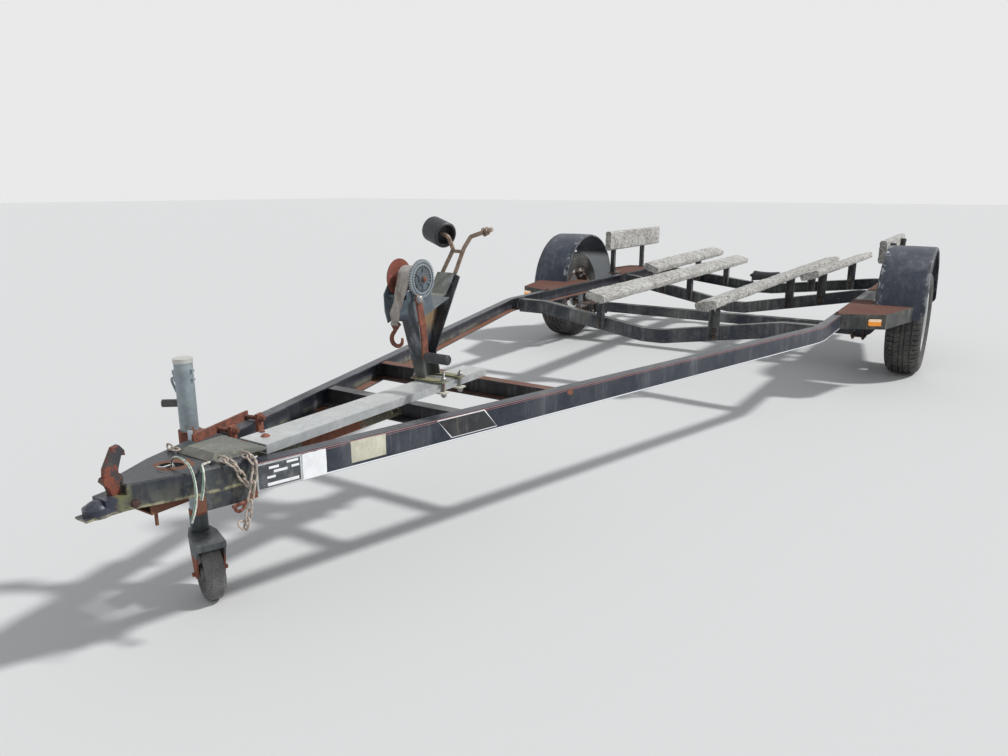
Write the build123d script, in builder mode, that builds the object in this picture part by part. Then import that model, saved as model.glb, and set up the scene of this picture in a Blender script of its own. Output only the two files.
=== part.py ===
from build123d import *
import os
from math import atan, atan2, cos, degrees, hypot, pi, radians, sin, sqrt, tan

# Single-axle boat trailer with carpeted bunks, standing on its tongue jack.
# Millimetres. +X is the trailer's left, -Y is its front, +Z is up, and z = 0 is the ground.
# "ahead" is a distance forward of the axle. Left-hand pieces are drawn and the right ones mirrored.

# Overall lengths
NOSE_AHEAD = 4386.0
TAIL_BEHIND = 1650.0
AXLE_Y = (NOSE_AHEAD - TAIL_BEHIND) / 2
SEAT_GAP = 0.3

# Side rails, folded channel with its open side inward
RAIL_TOP = 444.0
RAIL_HEIGHT = 76.2
RAIL_FLANGE = 38.0
RAIL_WALL = 4.8
RAIL_HALF = 907.0
RAIL_NOSE_HALF = 88.0
RAIL_NOSE_AHEAD = 4150.0
RAIL_BEND_AHEAD = 1266.0
RAIL_BEND_R = 500.0
RAIL_TAIL_BEHIND = 1300.0
RAIL_BOTTOM = RAIL_TOP - RAIL_HEIGHT
RAIL_SPLAY = atan((RAIL_HALF - RAIL_NOSE_HALF) / (RAIL_NOSE_AHEAD - RAIL_BEND_AHEAD))

# Tongue cross channels, nested between the rail flanges
TONGUE_CROSS = (3400.0, 3012.0)
TONGUE_CROSS_FLANGE = 42.0
TONGUE_CROSS_WALL = 4.0
TONGUE_CROSS_TOP = RAIL_TOP - RAIL_WALL - SEAT_GAP
TONGUE_CROSS_BOTTOM = RAIL_BOTTOM + RAIL_WALL + SEAT_GAP

# Drop-centre cross members
DROP_DEPTH = 50.0
DROP_HEIGHT = 76.0
DROP_WALL = 4.0
DROP_END_Z = 395.0
DROP_BEND_R = 220.0
END_PLATE = 5.0
END_PLATE_WIDTH = 66.0
# name: front face ahead of the axle, half width of the dropped floor, floor's centre height,
# half width at which the slope meets the level end
DROP_MEMBERS = {
    "cross_front": (1200.0, 60.0, 296.0, 690.0),
    "cross_middle": (-400.0, 60.0, 252.0, 820.0),
}
REAR_CROSS = (120.0 - RAIL_TAIL_BEHIND, 60.0, 306.0, 800.0)

# Wheels, 14 inch rim
TYRE_R = 314.0
TYRE_WIDTH = 190.0
TYRE_SIDE_R = 38.0
RIM_R = 178.0
RIM_FLANGE_R = 197.0
RIM_WIDTH = 156.0
RIM_WALL = 5.0
RIM_SPOKES = 8
RIM_HUB_R = 62.0
RIM_WINDOW_IN = 84.0
RIM_WINDOW_OUT = 142.0
RIM_WINDOW_ANGLE = 25.0
WHEEL_X = RAIL_HALF + 254.0
HUB_R = 34.0
SPINDLE_R = 16.0
SPINDLE_CLEAR = 0.08

# Axle and leaf springs
AXLE_SIZE = 63.5
AXLE_Z = 236.0
AXLE_DROP_X = RAIL_HALF + 28.0
AXLE_RISE_X = RAIL_HALF + 88.0
AXLE_END_X = RAIL_HALF + 143.0
SPRING_X = RAIL_HALF - 14.0
SPRING_WIDTH = 44.0
LEAF = 7.0
LEAF_SPANS = (760.0, 560.0, 360.0)
SPRING_SAG = 18.0
EYE_R = 17.0
BOLT_R = 7.0

# Fenders
FENDER_R = 390.0
FENDER_Z = 370.0
FENDER_BEHIND = 28.0
FENDER_IN = RAIL_HALF + 95.0
FENDER_WIDTH = 262.0
FENDER_SHEET = 3.0
FENDER_LIP = 20.0
FENDER_CORNER_R = 56.0

# Steps ahead of and behind each fender: corners as x, ahead
STEP_SHEET = 3.0
STEP_Z = RAIL_TOP + SEAT_GAP
STEP_SKIRT = 76.0
STEP_IN = RAIL_HALF - 33.0
STEP_NECK = RAIL_HALF + 85.0
STEP_OUT = RAIL_HALF + 298.0
STEP_FRONT = (
    (STEP_IN, 850.0),
    (RAIL_HALF + 205.0, 735.0),
    (STEP_OUT, 368.0),
    (STEP_NECK, 368.0),
    (STEP_NECK, 190.0),
    (STEP_IN, 190.0),
)
STEP_REAR = (
    (STEP_IN, -1120.0),
    (RAIL_HALF + 198.0, -1010.0),
    (STEP_OUT, -424.0),
    (STEP_NECK, -424.0),
    (STEP_NECK, -330.0),
    (STEP_IN, -330.0),
)
LAMP_SIZE = (62.0, 34.0, 18.0)

# Carpeted bunks: x, ahead and centre height at the front end, then the same at the rear end, and roll
BUNK_WIDTH = 118.0
BUNK_THICK = 46.0
BUNK_EDGE_R = 14.0
BUNKS = {
    "bunk_inner_left": ((312.0, 1250.0, 496.0), (405.0, -1650.0, 520.0), -10.0),
    "bunk_inner_right": ((-332.0, 1250.0, 492.0), (-330.0, -1640.0, 492.0), 16.0),
    "bunk_outer_left": ((545.0, -110.0, 540.0), (650.0, -1645.8, 562.0), -16.0),
    "bunk_outer_right": ((-552.0, -110.0, 530.0), (-552.0, -1640.0, 552.0), 20.0),
}
BRACKET_WIDTH = 50.0
BRACKET_LEG = 38.0
BRACKET_WALL = 5.0

# Guide-on boards
GUIDE_IN = RAIL_HALF + 18.0
GUIDE_THICK = 44.0
GUIDE_HEIGHT = 142.0
GUIDE_BOTTOM = 630.0
GUIDE_FRONT_BEHIND = 215.0
GUIDE_REAR_BEHIND = 1190.0
GUIDE_POST = 30.0
GUIDE_POSTS_BEHIND = (395.0, 965.0)

# Keel roller on the rear cross member
KEEL_ROLLER_R = 40.0
KEEL_ROLLER_LENGTH = 200.0
KEEL_ROLLER_Z = 402.0
KEEL_SHAFT_R = 8.0
KEEL_EAR = 5.0

# Galvanised tongue box and the channel under it
BOX_WIDTH = 101.6
BOX_HEIGHT = 25.4
BOX_WALL = 3.0
BOX_FRONT = (36.0, 3955.0)
BOX_REAR = (30.0, 2960.0)
BOX_BOTTOM = TONGUE_CROSS_TOP + SEAT_GAP
BOX_TOP = BOX_BOTTOM + BOX_HEIGHT
SPINE_WIDTH = 76.0
SPINE_HEIGHT = 38.0
SPINE_WALL = 4.0
SPINE_X = 18.0

# Coupler
COUPLER_TOP = 460.0
COUPLER_FRONT_BOTTOM = 400.0
COUPLER_REAR_BOTTOM = 358.0
COUPLER_WALL = 5.0
COUPLER_NECK_AHEAD = 4296.0
COUPLER_NECK_HALF = 33.0
SADDLE_TOP = 436.0
NOSE_HALF = 22.0
SLEEVE_FRONT_AHEAD = 4168.0
SLEEVE_REAR_AHEAD = 4026.0
BALL_AHEAD = 4348.0
SOCKET_R = 25.6
DOME_WALL = 4.4
SOCKET_Z = 420.0
HOLE_LONG = 58.0
HOLE_WIDE = 34.0
HOLE_X = 5.0
HOLE_AHEAD = 4166.0
HOLE_TURN = 33.0
# Tray welded under the hood: its ends ahead of the axle, half width and underside
TRAY_AHEAD = (4252.0, 4156.0)
TRAY_HALF = 44.0
TRAY_BOTTOM = 374.0
LOOM_TOP = 446.0
# Latch: half width, then side corners as distance behind the ball and height above the coupler's top
LATCH = (
    (
        11.0,
        ((31, -23.7), (51, -23.7), (51, 0.3), (58, 0.3), (60, 10), (54, 22), (18, 18), (14, 10), (26, -5)),
    ),
    (7.0, ((20, 14), (52, 14), (54, 32), (64, 60), (73, 58), (72, 70), (62, 84), (47, 81), (23, 38))),
)
# Cap sections: distance behind the sleeve's rear end, base's two sides, top's two sides, height
CAP_SECTIONS = (
    (-82.0, -60.0, 80.0, -58.0, 78.0, 2.0),
    (-62.0, -62.0, 82.0, -40.0, 60.0, 17.0),
    (60.0, -78.0, 104.0, -70.0, 96.0, 5.0),
)

# Winch stand, winch and bow stop
STAND_X = -26.0
STAND_DEPTH = 71.0
STAND_NARROW = 38.0
STAND_WALL = 4.0
# Side corners of the stand: distance behind BOW_AHEAD and height above its base
STAND_SIDE = (
    (-127.0, 2.0),
    (-201.0, 238.0),
    (-51.0, 286.0),
    (0.0, 351.0),
    (33.0, 335.0),
    (-57.0, 91.0),
    (-40.0, 2.0),
)
BOW_AHEAD = 3095.0
WINCH_OVERHANG = 76.0
# Corners of a winch cheek: distance along the base from its front end, height above it
CHEEK = ((0, 0), (124, 0), (122, 70), (108, 134), (70, 134), (14, 92), (0, 40))
GEAR_AHEAD = BOW_AHEAD + 224.0
GEAR_Z = 820.0
GEAR_R = 60.0
GEAR_X = 82.0
GEAR_THICK = 8.0
GEAR_TEETH = 46
TOOTH_DEPTH = 6.0
GEAR_SLOTS = 28
GEAR_SLOT_R = 38.0
DRUM_IN = -6.0
DRUM_OUT = 70.0
DRUM_R = 22.0
DRUM_FLANGE_R = 58.0
STRAP_R = 40.0
STRAP_WIDTH = 48.0
STRAP_END_Z = 682.0
HOOK_X = 9.0
HOOK_BAR = 6.5
# Middle line of the hook: distance across and depth below the ring's top bar
HOOK_LINE = ((0, 14), (-15, 36), (-17, 54), (-5, 69), (15, 69), (25, 56), (25, 42))
CRANK_LENGTH = 186.0
CRANK_BAR = 26.0
CRANK_THICK = 6.0
CRANK_X = GEAR_X + GEAR_THICK + 8.0
GRIP_R = 16.0
GRIP_LENGTH = 88.0
ROD_R = 7.0
BOW_Z = 949.0
BOW_ROLLER_R = 43.0
BOW_ROLLER_LENGTH = 86.0
BOW_ROLLER_X = -16.0
BOW_ROLLER_WAY = (0.92, -0.32, -0.23)
ROLLER_CLEAR = 0.08

# Tongue jack
JACK_X = -192.0
JACK_AHEAD = 3977.0
JACK_TUBE_R = 24.0
JACK_TUBE_WALL = 3.0
JACK_TUBE_TOP = 653.0
JACK_TUBE_BOTTOM = 296.0
LEG_R = 20.9
CASTER_TOP = 236.0
CASTER_TRAIL = 74.0
CASTER_ANGLE = -22.0
JACK_WHEEL_R = 79.0
JACK_WHEEL_WIDTH = 56.0
FORK_WALL = 5.0
FORK_GAP = 5.5
FORK_NOSE = 44.0
# Side corners of a fork arm: distance along the fork from the wheel's axle, share of the arm's height
FORK_ARM = ((-13, 0.0), (13, 0.0), (28, 0.55), (44, 1.0), (-46, 1.0), (-34, 0.55))
STUD_REACH = 62.0
# Direction, in plan, from the jack's tube to its folded crank
JACK_CRANK_WAY = (-0.611, 0.791)

# Safety chains
LINK_LENGTH = 34.0
LINK_WIDTH = 20.0
LINK_WIRE = 5.0
LINK_PITCH = LINK_LENGTH - 2 * LINK_WIRE - 0.9


def ahead(distance):
    """Y of a place this far ahead of the axle."""
    return AXLE_Y - distance


def rail_outer(distance):
    """Half width of the frame over the rails at this distance ahead of the axle."""
    return RAIL_HALF - max(0.0, distance - RAIL_BEND_AHEAD) * tan(RAIL_SPLAY)


def save(part, name):
    part.label = name
    export_step(part, f"parts/{name}.step")


def save_pair(part, name):
    save(part, f"{name}_left")
    with BuildPart() as twin:
        mirror(part, about=Plane.YZ)
    save(twin.part, f"{name}_right")


def across(y):
    """Upright plane seen from the front, whose sketches use x and z."""
    return Plane(origin=(0, y, 0), x_dir=(1, 0, 0), z_dir=(0, -1, 0))


def along(x):
    """Upright plane seen from the left, whose sketches use y and z."""
    return Plane(origin=(x, 0, 0), x_dir=(0, 1, 0), z_dir=(1, 0, 0))


def save_both(part, name):
    """Save a left-hand piece and its mirror image as one node of separate solids."""
    with BuildPart() as both:
        add(part)
        mirror(part, about=Plane.YZ)
    save(both.part, name)


# Side rails


def rail_line(inset):
    """Plan line of the left rail, this far inside its outer face."""
    nose_x = RAIL_NOSE_HALF - inset * cos(RAIL_SPLAY)
    nose_y = ahead(RAIL_NOSE_AHEAD) + inset * sin(RAIL_SPLAY)
    bend_y = ahead(RAIL_BEND_AHEAD) + inset * tan(RAIL_SPLAY / 2)
    tail_y = ahead(-RAIL_TAIL_BEHIND)
    points = ((nose_x, nose_y), (RAIL_HALF - inset, bend_y), (RAIL_HALF - inset, tail_y))
    return FilletPolyline(*points, radius=RAIL_BEND_R - inset)


def make_rail():
    with BuildPart() as rail:
        with BuildSketch(Plane.XY.offset(RAIL_BOTTOM)):
            with BuildLine():
                rail_line(RAIL_WALL / 2)
            trace(line_width=RAIL_WALL)
        extrude(amount=RAIL_HEIGHT)
        for z in (RAIL_BOTTOM, RAIL_TOP - RAIL_WALL):
            with BuildSketch(Plane.XY.offset(z)):
                with BuildLine():
                    rail_line(RAIL_FLANGE / 2)
                trace(line_width=RAIL_FLANGE)
            extrude(amount=RAIL_WALL)
    return rail.part


# Cross members


def make_tongue_crosses():
    """Channels across the tongue, open side to the front, their ends cut to the rails' webs."""

    def half(distance):
        return rail_outer(distance) - (RAIL_WALL + SEAT_GAP) / cos(RAIL_SPLAY)

    height = TONGUE_CROSS_TOP - TONGUE_CROSS_BOTTOM
    with BuildPart() as crosses:
        for front in TONGUE_CROSS:
            rear = front - TONGUE_CROSS_FLANGE
            # bottom, height, front edge
            layers = (
                (TONGUE_CROSS_BOTTOM, TONGUE_CROSS_WALL, front),
                (TONGUE_CROSS_TOP - TONGUE_CROSS_WALL, TONGUE_CROSS_WALL, front),
                (TONGUE_CROSS_BOTTOM, height, rear + TONGUE_CROSS_WALL),
            )
            for bottom, thick, edge in layers:
                with BuildSketch(Plane.XY.offset(bottom)):
                    with BuildLine():
                        Polyline(
                            (-half(edge), ahead(edge)),
                            (half(edge), ahead(edge)),
                            (half(rear), ahead(rear)),
                            (-half(rear), ahead(rear)),
                            close=True,
                        )
                    make_face()
                extrude(amount=thick)
    return crosses.part


def drop_line(floor_half, floor_z, slope_half, end_x, lift=0.0):
    """Line of a drop-centre member seen from the front."""
    level = max(8.0, end_x - slope_half)
    return FilletPolyline(
        (-end_x, DROP_END_Z + lift),
        (level - end_x, DROP_END_Z + lift),
        (-floor_half, floor_z + lift),
        (floor_half, floor_z + lift),
        (end_x - level, DROP_END_Z + lift),
        (end_x, DROP_END_Z + lift),
        radius=min(DROP_BEND_R, 1.8 * level),
    )


def add_end_plates(y, end_x):
    """Plates on the member's ends, seated on the tips of the rail flanges."""
    for side in (1, -1):
        with Locations((side * (end_x + END_PLATE / 2), y + DROP_DEPTH / 2, RAIL_TOP - RAIL_HEIGHT / 2)):
            Box(END_PLATE, END_PLATE_WIDTH, RAIL_HEIGHT)


def member_end():
    return RAIL_HALF - RAIL_FLANGE - SEAT_GAP - END_PLATE


def make_drop_member(front, floor_half, floor_z, slope_half):
    y = ahead(front)
    end_x = member_end()
    with BuildPart() as member:
        with BuildSketch(across(y)):
            with BuildLine():
                drop_line(floor_half, floor_z, slope_half, end_x)
            trace(line_width=DROP_HEIGHT)
        extrude(amount=-DROP_DEPTH)
        with BuildSketch(across(y + DROP_WALL)):
            with BuildLine():
                drop_line(floor_half, floor_z, slope_half, end_x)
            trace(line_width=DROP_HEIGHT - 2 * DROP_WALL)
        extrude(amount=-(DROP_DEPTH - 2 * DROP_WALL), mode=Mode.SUBTRACT)
        add_end_plates(y, end_x)
    return member.part


def make_rear_cross(front, floor_half, floor_z, slope_half):
    """Channel with its open side to the front."""
    y = ahead(front)
    end_x = member_end()
    with BuildPart() as member:
        with BuildSketch(across(y)):
            with BuildLine():
                drop_line(floor_half, floor_z, slope_half, end_x)
            trace(line_width=DROP_HEIGHT)
        extrude(amount=-DROP_DEPTH)
        with BuildSketch(across(y)):
            with BuildLine():
                drop_line(floor_half, floor_z, slope_half, end_x)
            trace(line_width=DROP_HEIGHT - 2 * DROP_WALL)
        extrude(amount=-(DROP_DEPTH - DROP_WALL), mode=Mode.SUBTRACT)
        add_end_plates(y, end_x)
    return member.part


# Wheels


def wheel_plane():
    """Plane whose sketches are turned about the left wheel's axle: x outward, y as radius."""
    return Plane(origin=(WHEEL_X, ahead(0), TYRE_R), x_dir=(1, 0, 0), z_dir=(0, -1, 0))


def wheel_axis():
    return Axis((WHEEL_X, ahead(0), TYRE_R), (1, 0, 0))


def make_tyre():
    half = TYRE_WIDTH / 2
    bead = RIM_WIDTH / 2 - 8
    # distance from the middle, radius
    side = (
        (bead, RIM_R + SEAT_GAP),
        (bead, RIM_FLANGE_R),
        (half - 7, TYRE_R - 96),
        (half, TYRE_R - 62),
        (half - 4, TYRE_R - 40),
        (half - 14, TYRE_R - 22),
        (half - 28, TYRE_R - 4),
        (half - 62, TYRE_R),
    )
    with BuildPart() as tyre:
        with BuildSketch(wheel_plane()):
            with BuildLine():
                Polyline(*side, *[(-x, radius) for x, radius in reversed(side)], close=True)
            make_face()
        revolve(axis=wheel_axis())
    return tyre.part


def make_rim():
    """Rim, dished and slotted disc, and the hub it is bolted to, bored for the spindle."""
    half = RIM_WIDTH / 2
    lip = 6.0
    well = 22.0
    dish_x = 22.0
    with BuildPart() as rim:
        with BuildSketch(wheel_plane()):
            with BuildLine():
                Polyline(
                    (-half, RIM_FLANGE_R),
                    (-half, RIM_R - RIM_WALL),
                    (-half + well, RIM_R - RIM_WALL),
                    (-half + well + 12, RIM_R - well),
                    (half - 46, RIM_R - well),
                    (half - 34, RIM_R - RIM_WALL),
                    (half, RIM_R - RIM_WALL),
                    (half, RIM_FLANGE_R),
                    (half - lip, RIM_FLANGE_R),
                    (half - lip, RIM_R),
                    (half - 32, RIM_R),
                    (half - 44, RIM_R - well + RIM_WALL),
                    (-half + well + 10, RIM_R - well + RIM_WALL),
                    (-half + well - 2, RIM_R),
                    (-half + lip, RIM_R),
                    (-half + lip, RIM_FLANGE_R),
                    close=True,
                )
            make_face()
        revolve(axis=wheel_axis())
        with BuildSketch(wheel_plane()):
            with BuildLine():
                Polyline(
                    (dish_x - 6, HUB_R + 1),
                    (dish_x, HUB_R + 1),
                    (dish_x, RIM_HUB_R),
                    (dish_x + 20, RIM_HUB_R + 22),
                    (dish_x + 14, RIM_WINDOW_OUT),
                    (dish_x - 4, RIM_R - well + 2),
                    (dish_x - 14, RIM_R - well + 2),
                    (dish_x + 8, RIM_WINDOW_OUT - 4),
                    (dish_x + 14, RIM_HUB_R + 24),
                    (dish_x - 6, RIM_HUB_R + 2),
                    close=True,
                )
            make_face()
        revolve(axis=wheel_axis())
        with BuildSketch(Plane(origin=(WHEEL_X, ahead(0), TYRE_R), x_dir=(0, 1, 0), z_dir=(1, 0, 0))):
            with PolarLocations(0, RIM_SPOKES):
                with BuildLine():
                    spread = radians(RIM_WINDOW_ANGLE / 2)
                    low = RIM_WINDOW_IN
                    high = RIM_WINDOW_OUT
                    Polyline(
                        (low * cos(spread / 1.6), -low * sin(spread / 1.6)),
                        (high * cos(spread), -high * sin(spread)),
                        (high * cos(spread), high * sin(spread)),
                        (low * cos(spread / 1.6), low * sin(spread / 1.6)),
                        close=True,
                    )
                make_face()
        extrude(amount=RIM_WIDTH / 2, mode=Mode.SUBTRACT)
        with BuildSketch(wheel_plane()):
            with BuildLine():
                Polyline(
                    (-72, SPINDLE_R + SPINDLE_CLEAR),
                    (30, SPINDLE_R + SPINDLE_CLEAR),
                    (30, 0),
                    (52, 0),
                    (52, 20),
                    (46, 27),
                    (28, 27),
                    (28, HUB_R + 4),
                    (20, HUB_R + 4),
                    (20, RIM_HUB_R - 2),
                    (5, RIM_HUB_R - 2),
                    (5, HUB_R + 4),
                    (-72, HUB_R),
                    close=True,
                )
            make_face()
        revolve(axis=wheel_axis())
    return rim.part


# Axle and springs


def make_axle():
    with BuildPart() as axle:
        with BuildSketch(across(ahead(AXLE_SIZE / 2))):
            with BuildLine():
                FilletPolyline(
                    (-AXLE_END_X, TYRE_R),
                    (-AXLE_RISE_X, TYRE_R),
                    (-AXLE_DROP_X, AXLE_Z),
                    (AXLE_DROP_X, AXLE_Z),
                    (AXLE_RISE_X, TYRE_R),
                    (AXLE_END_X, TYRE_R),
                    radius=36,
                )
            trace(line_width=AXLE_SIZE)
        extrude(amount=-AXLE_SIZE)
        for side in (1, -1):
            start = side * (AXLE_END_X - 10)
            with BuildSketch(Plane(origin=(start, ahead(0), TYRE_R), x_dir=(0, 1, 0), z_dir=(side, 0, 0))):
                Circle(SPINDLE_R)
            extrude(amount=WHEEL_X + 28 - AXLE_END_X + 10)
    return axle.part


def leaf_radius():
    span = LEAF_SPANS[0]
    return (span * span / 4 + SPRING_SAG * SPRING_SAG) / (2 * SPRING_SAG)


def spring_seat():
    return AXLE_Z + AXLE_SIZE / 2 + SEAT_GAP


def make_spring():
    """Stacked leaves, the long one on top with its eye at the front."""
    base = spring_seat()
    stack = LEAF * len(LEAF_SPANS)
    radius = leaf_radius()
    centre_z = base + stack + radius
    with BuildPart() as spring:
        for index, span in enumerate(LEAF_SPANS):
            mid = radius + LEAF * (index + 0.5)
            angle = span / 2 / radius
            ends = [(ahead(0) + s * mid * sin(angle), centre_z - mid * cos(angle)) for s in (-1, 1)]
            with BuildSketch(along(SPRING_X - SPRING_WIDTH / 2)):
                with BuildLine():
                    ThreePointArc(ends[0], (ahead(0), centre_z - mid), ends[1])
                trace(line_width=LEAF)
            extrude(amount=SPRING_WIDTH)
        eye = eye_centre()
        with BuildSketch(along(SPRING_X - SPRING_WIDTH / 2)):
            with Locations(eye):
                Circle(EYE_R)
        extrude(amount=SPRING_WIDTH)
        with BuildSketch(along(SPRING_X - SPRING_WIDTH / 2)):
            with Locations(eye):
                Circle(BOLT_R + SEAT_GAP)
        extrude(amount=SPRING_WIDTH, mode=Mode.SUBTRACT)
    return spring.part


def eye_centre():
    """Centre of the front spring eye, as y and z."""
    radius = leaf_radius()
    angle = LEAF_SPANS[0] / 2 / radius
    centre_z = spring_seat() + LEAF * len(LEAF_SPANS) + radius
    reach = radius - EYE_R + LEAF
    return (ahead(0) - reach * sin(angle), centre_z - reach * cos(angle))


def make_hangers():
    """Front eye hanger and rear slipper box, each on the rail's underside."""
    wall = 5.0
    half = SPRING_WIDTH / 2 + SEAT_GAP
    eye_y, eye_z = eye_centre()
    top = RAIL_BOTTOM - SEAT_GAP
    with BuildPart() as hangers:
        with BuildSketch(Plane.XY.offset(top)):
            with Locations((SPRING_X, eye_y)):
                Rectangle(2 * (half + wall), 76)
        extrude(amount=-wall)
        for side in (1, -1):
            with BuildSketch(along(SPRING_X + side * half)):
                with BuildLine():
                    Polyline(
                        (eye_y - 38, top), (eye_y + 38, top), (eye_y + 18, eye_z - 30), (eye_y - 18, eye_z - 30), close=True
                    )
                make_face()
            extrude(amount=side * wall)
        with BuildSketch(along(SPRING_X - half - wall - 8)):
            with Locations((eye_y, eye_z)):
                Circle(BOLT_R)
        extrude(amount=2 * (half + wall + 8))
        rear_y = ahead(0) + LEAF_SPANS[0] / 2 - 20
        tip_z = eye_centre()[1] + EYE_R
        with BuildSketch(Plane.XY.offset(top)):
            with Locations((SPRING_X, rear_y)):
                Rectangle(2 * (half + wall), 110)
        extrude(amount=-wall)
        for side in (1, -1):
            with BuildSketch(along(SPRING_X + side * half)):
                with BuildLine():
                    Polyline(
                        (rear_y - 55, top), (rear_y + 55, top), (rear_y + 46, tip_z - 60), (rear_y - 46, tip_z - 60), close=True
                    )
                make_face()
            extrude(amount=side * wall)
        with BuildSketch(along(SPRING_X - half - wall)):
            with Locations((rear_y, tip_z - 48)):
                Circle(BOLT_R - 2)
        extrude(amount=2 * (half + wall))
    return hangers.part


def make_spring_clamp():
    """Tie plate under the axle and the two bolts that bow over the leaves."""
    plate = 8.0
    bolt = 6.0
    inner_y = AXLE_SIZE / 2 + SEAT_GAP + bolt
    half_x = SPRING_WIDTH / 2 + bolt + 1.5
    top = spring_seat() + LEAF * len(LEAF_SPANS) + bolt + 1.8
    under = AXLE_Z - AXLE_SIZE / 2 - SEAT_GAP
    with BuildPart() as clamp:
        with BuildSketch(Plane.XY.offset(under)):
            with Locations((SPRING_X, ahead(0))):
                Rectangle(2 * (half_x + 12), 2 * (inner_y + 14))
        extrude(amount=-plate)
        for side in (1, -1):
            y = ahead(0) + side * inner_y
            for hand in (1, -1):
                with BuildSketch(Plane.XY.offset(under - plate - 16)):
                    with Locations((SPRING_X + hand * half_x, y)):
                        RegularPolygon(bolt, 8, major_radius=False, rotation=22.5)
                extrude(amount=top - bolt - (under - plate - 16))
                with BuildSketch(Plane.XY.offset(under - plate)):
                    with Locations((SPRING_X + hand * half_x, y)):
                        RegularPolygon(10, 6)
                extrude(amount=-9)
            with BuildSketch(along(SPRING_X - half_x - bolt)):
                with BuildLine():
                    Polyline(
                        (y - bolt, top - bolt - 1.5),
                        (y + bolt, top - bolt - 1.5),
                        (y + bolt, top + 2),
                        (y + 2, top + bolt),
                        (y - 2, top + bolt),
                        (y - bolt, top + 2),
                        close=True,
                    )
                make_face()
            extrude(amount=2 * (half_x + bolt))
    return clamp.part


# Fenders, steps and lamps


def make_fender():
    """Rolled fender with folded lips, the outer corners of its two ends rounded."""
    centre = (ahead(-FENDER_BEHIND), FENDER_Z)
    lip = FENDER_R - FENDER_LIP
    # x of the inner face, width, inner radius
    bands = (
        (FENDER_IN, FENDER_WIDTH, FENDER_R - FENDER_SHEET),
        (FENDER_IN, FENDER_SHEET, lip),
        (FENDER_IN + FENDER_WIDTH - FENDER_SHEET, FENDER_SHEET, lip),
    )
    outer = FENDER_IN + FENDER_WIDTH
    corner = FENDER_CORNER_R
    with BuildPart() as fender:
        for x, width, inner in bands:
            with BuildSketch(along(x)):
                with Locations(centre):
                    Circle(FENDER_R)
                    Circle(inner, mode=Mode.SUBTRACT)
                with Locations((centre[0], centre[1] - FENDER_R)):
                    Rectangle(2 * FENDER_R + 1, 2 * FENDER_R, mode=Mode.SUBTRACT)
            extrude(amount=width)
        for y in (centre[0] - FENDER_R, centre[0] + FENDER_R):
            with BuildSketch(across(y - FENDER_LIP - 10)):
                with BuildLine():
                    Polyline(
                        (outer + 4, FENDER_Z + corner + 4 / 0.36),
                        (outer - 0.16 * corner, FENDER_Z + 0.45 * corner),
                        (outer - 0.45 * corner, FENDER_Z + 0.16 * corner),
                        (outer - corner, FENDER_Z - 0.13 * corner),
                        (outer + 4, FENDER_Z - 0.13 * corner),
                        close=True,
                    )
                make_face()
            extrude(amount=-2 * (FENDER_LIP + 10), mode=Mode.SUBTRACT)
    return fender.part


def make_step(corners):
    """Tread plate with a skirt folded down along its free edges."""
    points = [(x, ahead(distance)) for x, distance in corners]
    with BuildPart() as step:
        with BuildSketch(Plane.XY.offset(STEP_Z)):
            with BuildLine():
                Polyline(*points, close=True)
            make_face()
        extrude(amount=STEP_SHEET)
        free_edge = [(RAIL_HALF + 1.2, step_edge_y(points)), points[1], points[2]]
        with BuildSketch(Plane.XY.offset(STEP_Z)):
            with BuildLine():
                Polyline(*free_edge)
            trace(line_width=STEP_SHEET)
            with BuildLine():
                Polyline(*points, close=True)
            make_face(mode=Mode.INTERSECT)
        extrude(amount=-STEP_SKIRT)
    return step.part


def step_edge_y(points):
    """Y of the step's end edge where it leaves the rail's outer face."""
    (x0, y0), (x1, y1) = points[0], points[1]
    return y0 + (y1 - y0) * (RAIL_HALF + 1.2 - x0) / (x1 - x0)


def lamp_plane(corners, share):
    """Plane on the outside of a step's end skirt, at this share of its length."""
    (x0, a0), (x1, a1) = corners[0], corners[1]
    y0, y1 = ahead(a0), ahead(a1)
    length = hypot(x1 - x0, y1 - y0)
    away = -1 if a0 > 0 else 1
    normal = (-away * (y1 - y0) / length, away * (x1 - x0) / length, 0)
    spot = (x0 + (x1 - x0) * share, y0 + (y1 - y0) * share, STEP_Z - STEP_SKIRT / 2)
    return Plane(origin=spot, x_dir=(away * normal[1], -away * normal[0], 0), z_dir=normal)


def make_lamp(corners, share):
    wide, high, deep = LAMP_SIZE
    with BuildPart() as lamp:
        with BuildSketch(lamp_plane(corners, share).offset(SEAT_GAP)):
            Rectangle(wide, high)
        extrude(amount=deep)
        chamfer(lamp.faces().sort_by(lambda face: face.center().Y)[0].edges(), length=4)
    return lamp.part


# Bunks, their brackets and the guide boards


def make_bunk(front, rear, roll):
    start = Vector(front[0], ahead(front[1]), front[2])
    end = Vector(rear[0], ahead(rear[1]), rear[2])
    run = end - start
    plane = Plane(origin=start, x_dir=(cos(radians(roll)), 0, -sin(radians(roll))), z_dir=run)
    with BuildPart() as bunk:
        with BuildSketch(plane):
            RectangleRounded(BUNK_WIDTH, BUNK_THICK, BUNK_EDGE_R)
        extrude(amount=run.length)
    return bunk.part


def bunk_under(name, x, distance):
    """Height of a bunk's underside over this place."""
    front, rear, roll = BUNKS[name]
    start = Vector(front[0], ahead(front[1]), front[2])
    way = Vector(rear[0], ahead(rear[1]), rear[2]) - start
    up = Vector(cos(radians(roll)), 0, -sin(radians(roll))).cross(way).normalized()
    return start.Z - (BUNK_THICK / 2 + up.X * (x - start.X) + up.Y * (ahead(distance) - start.Y)) / up.Z


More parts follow.
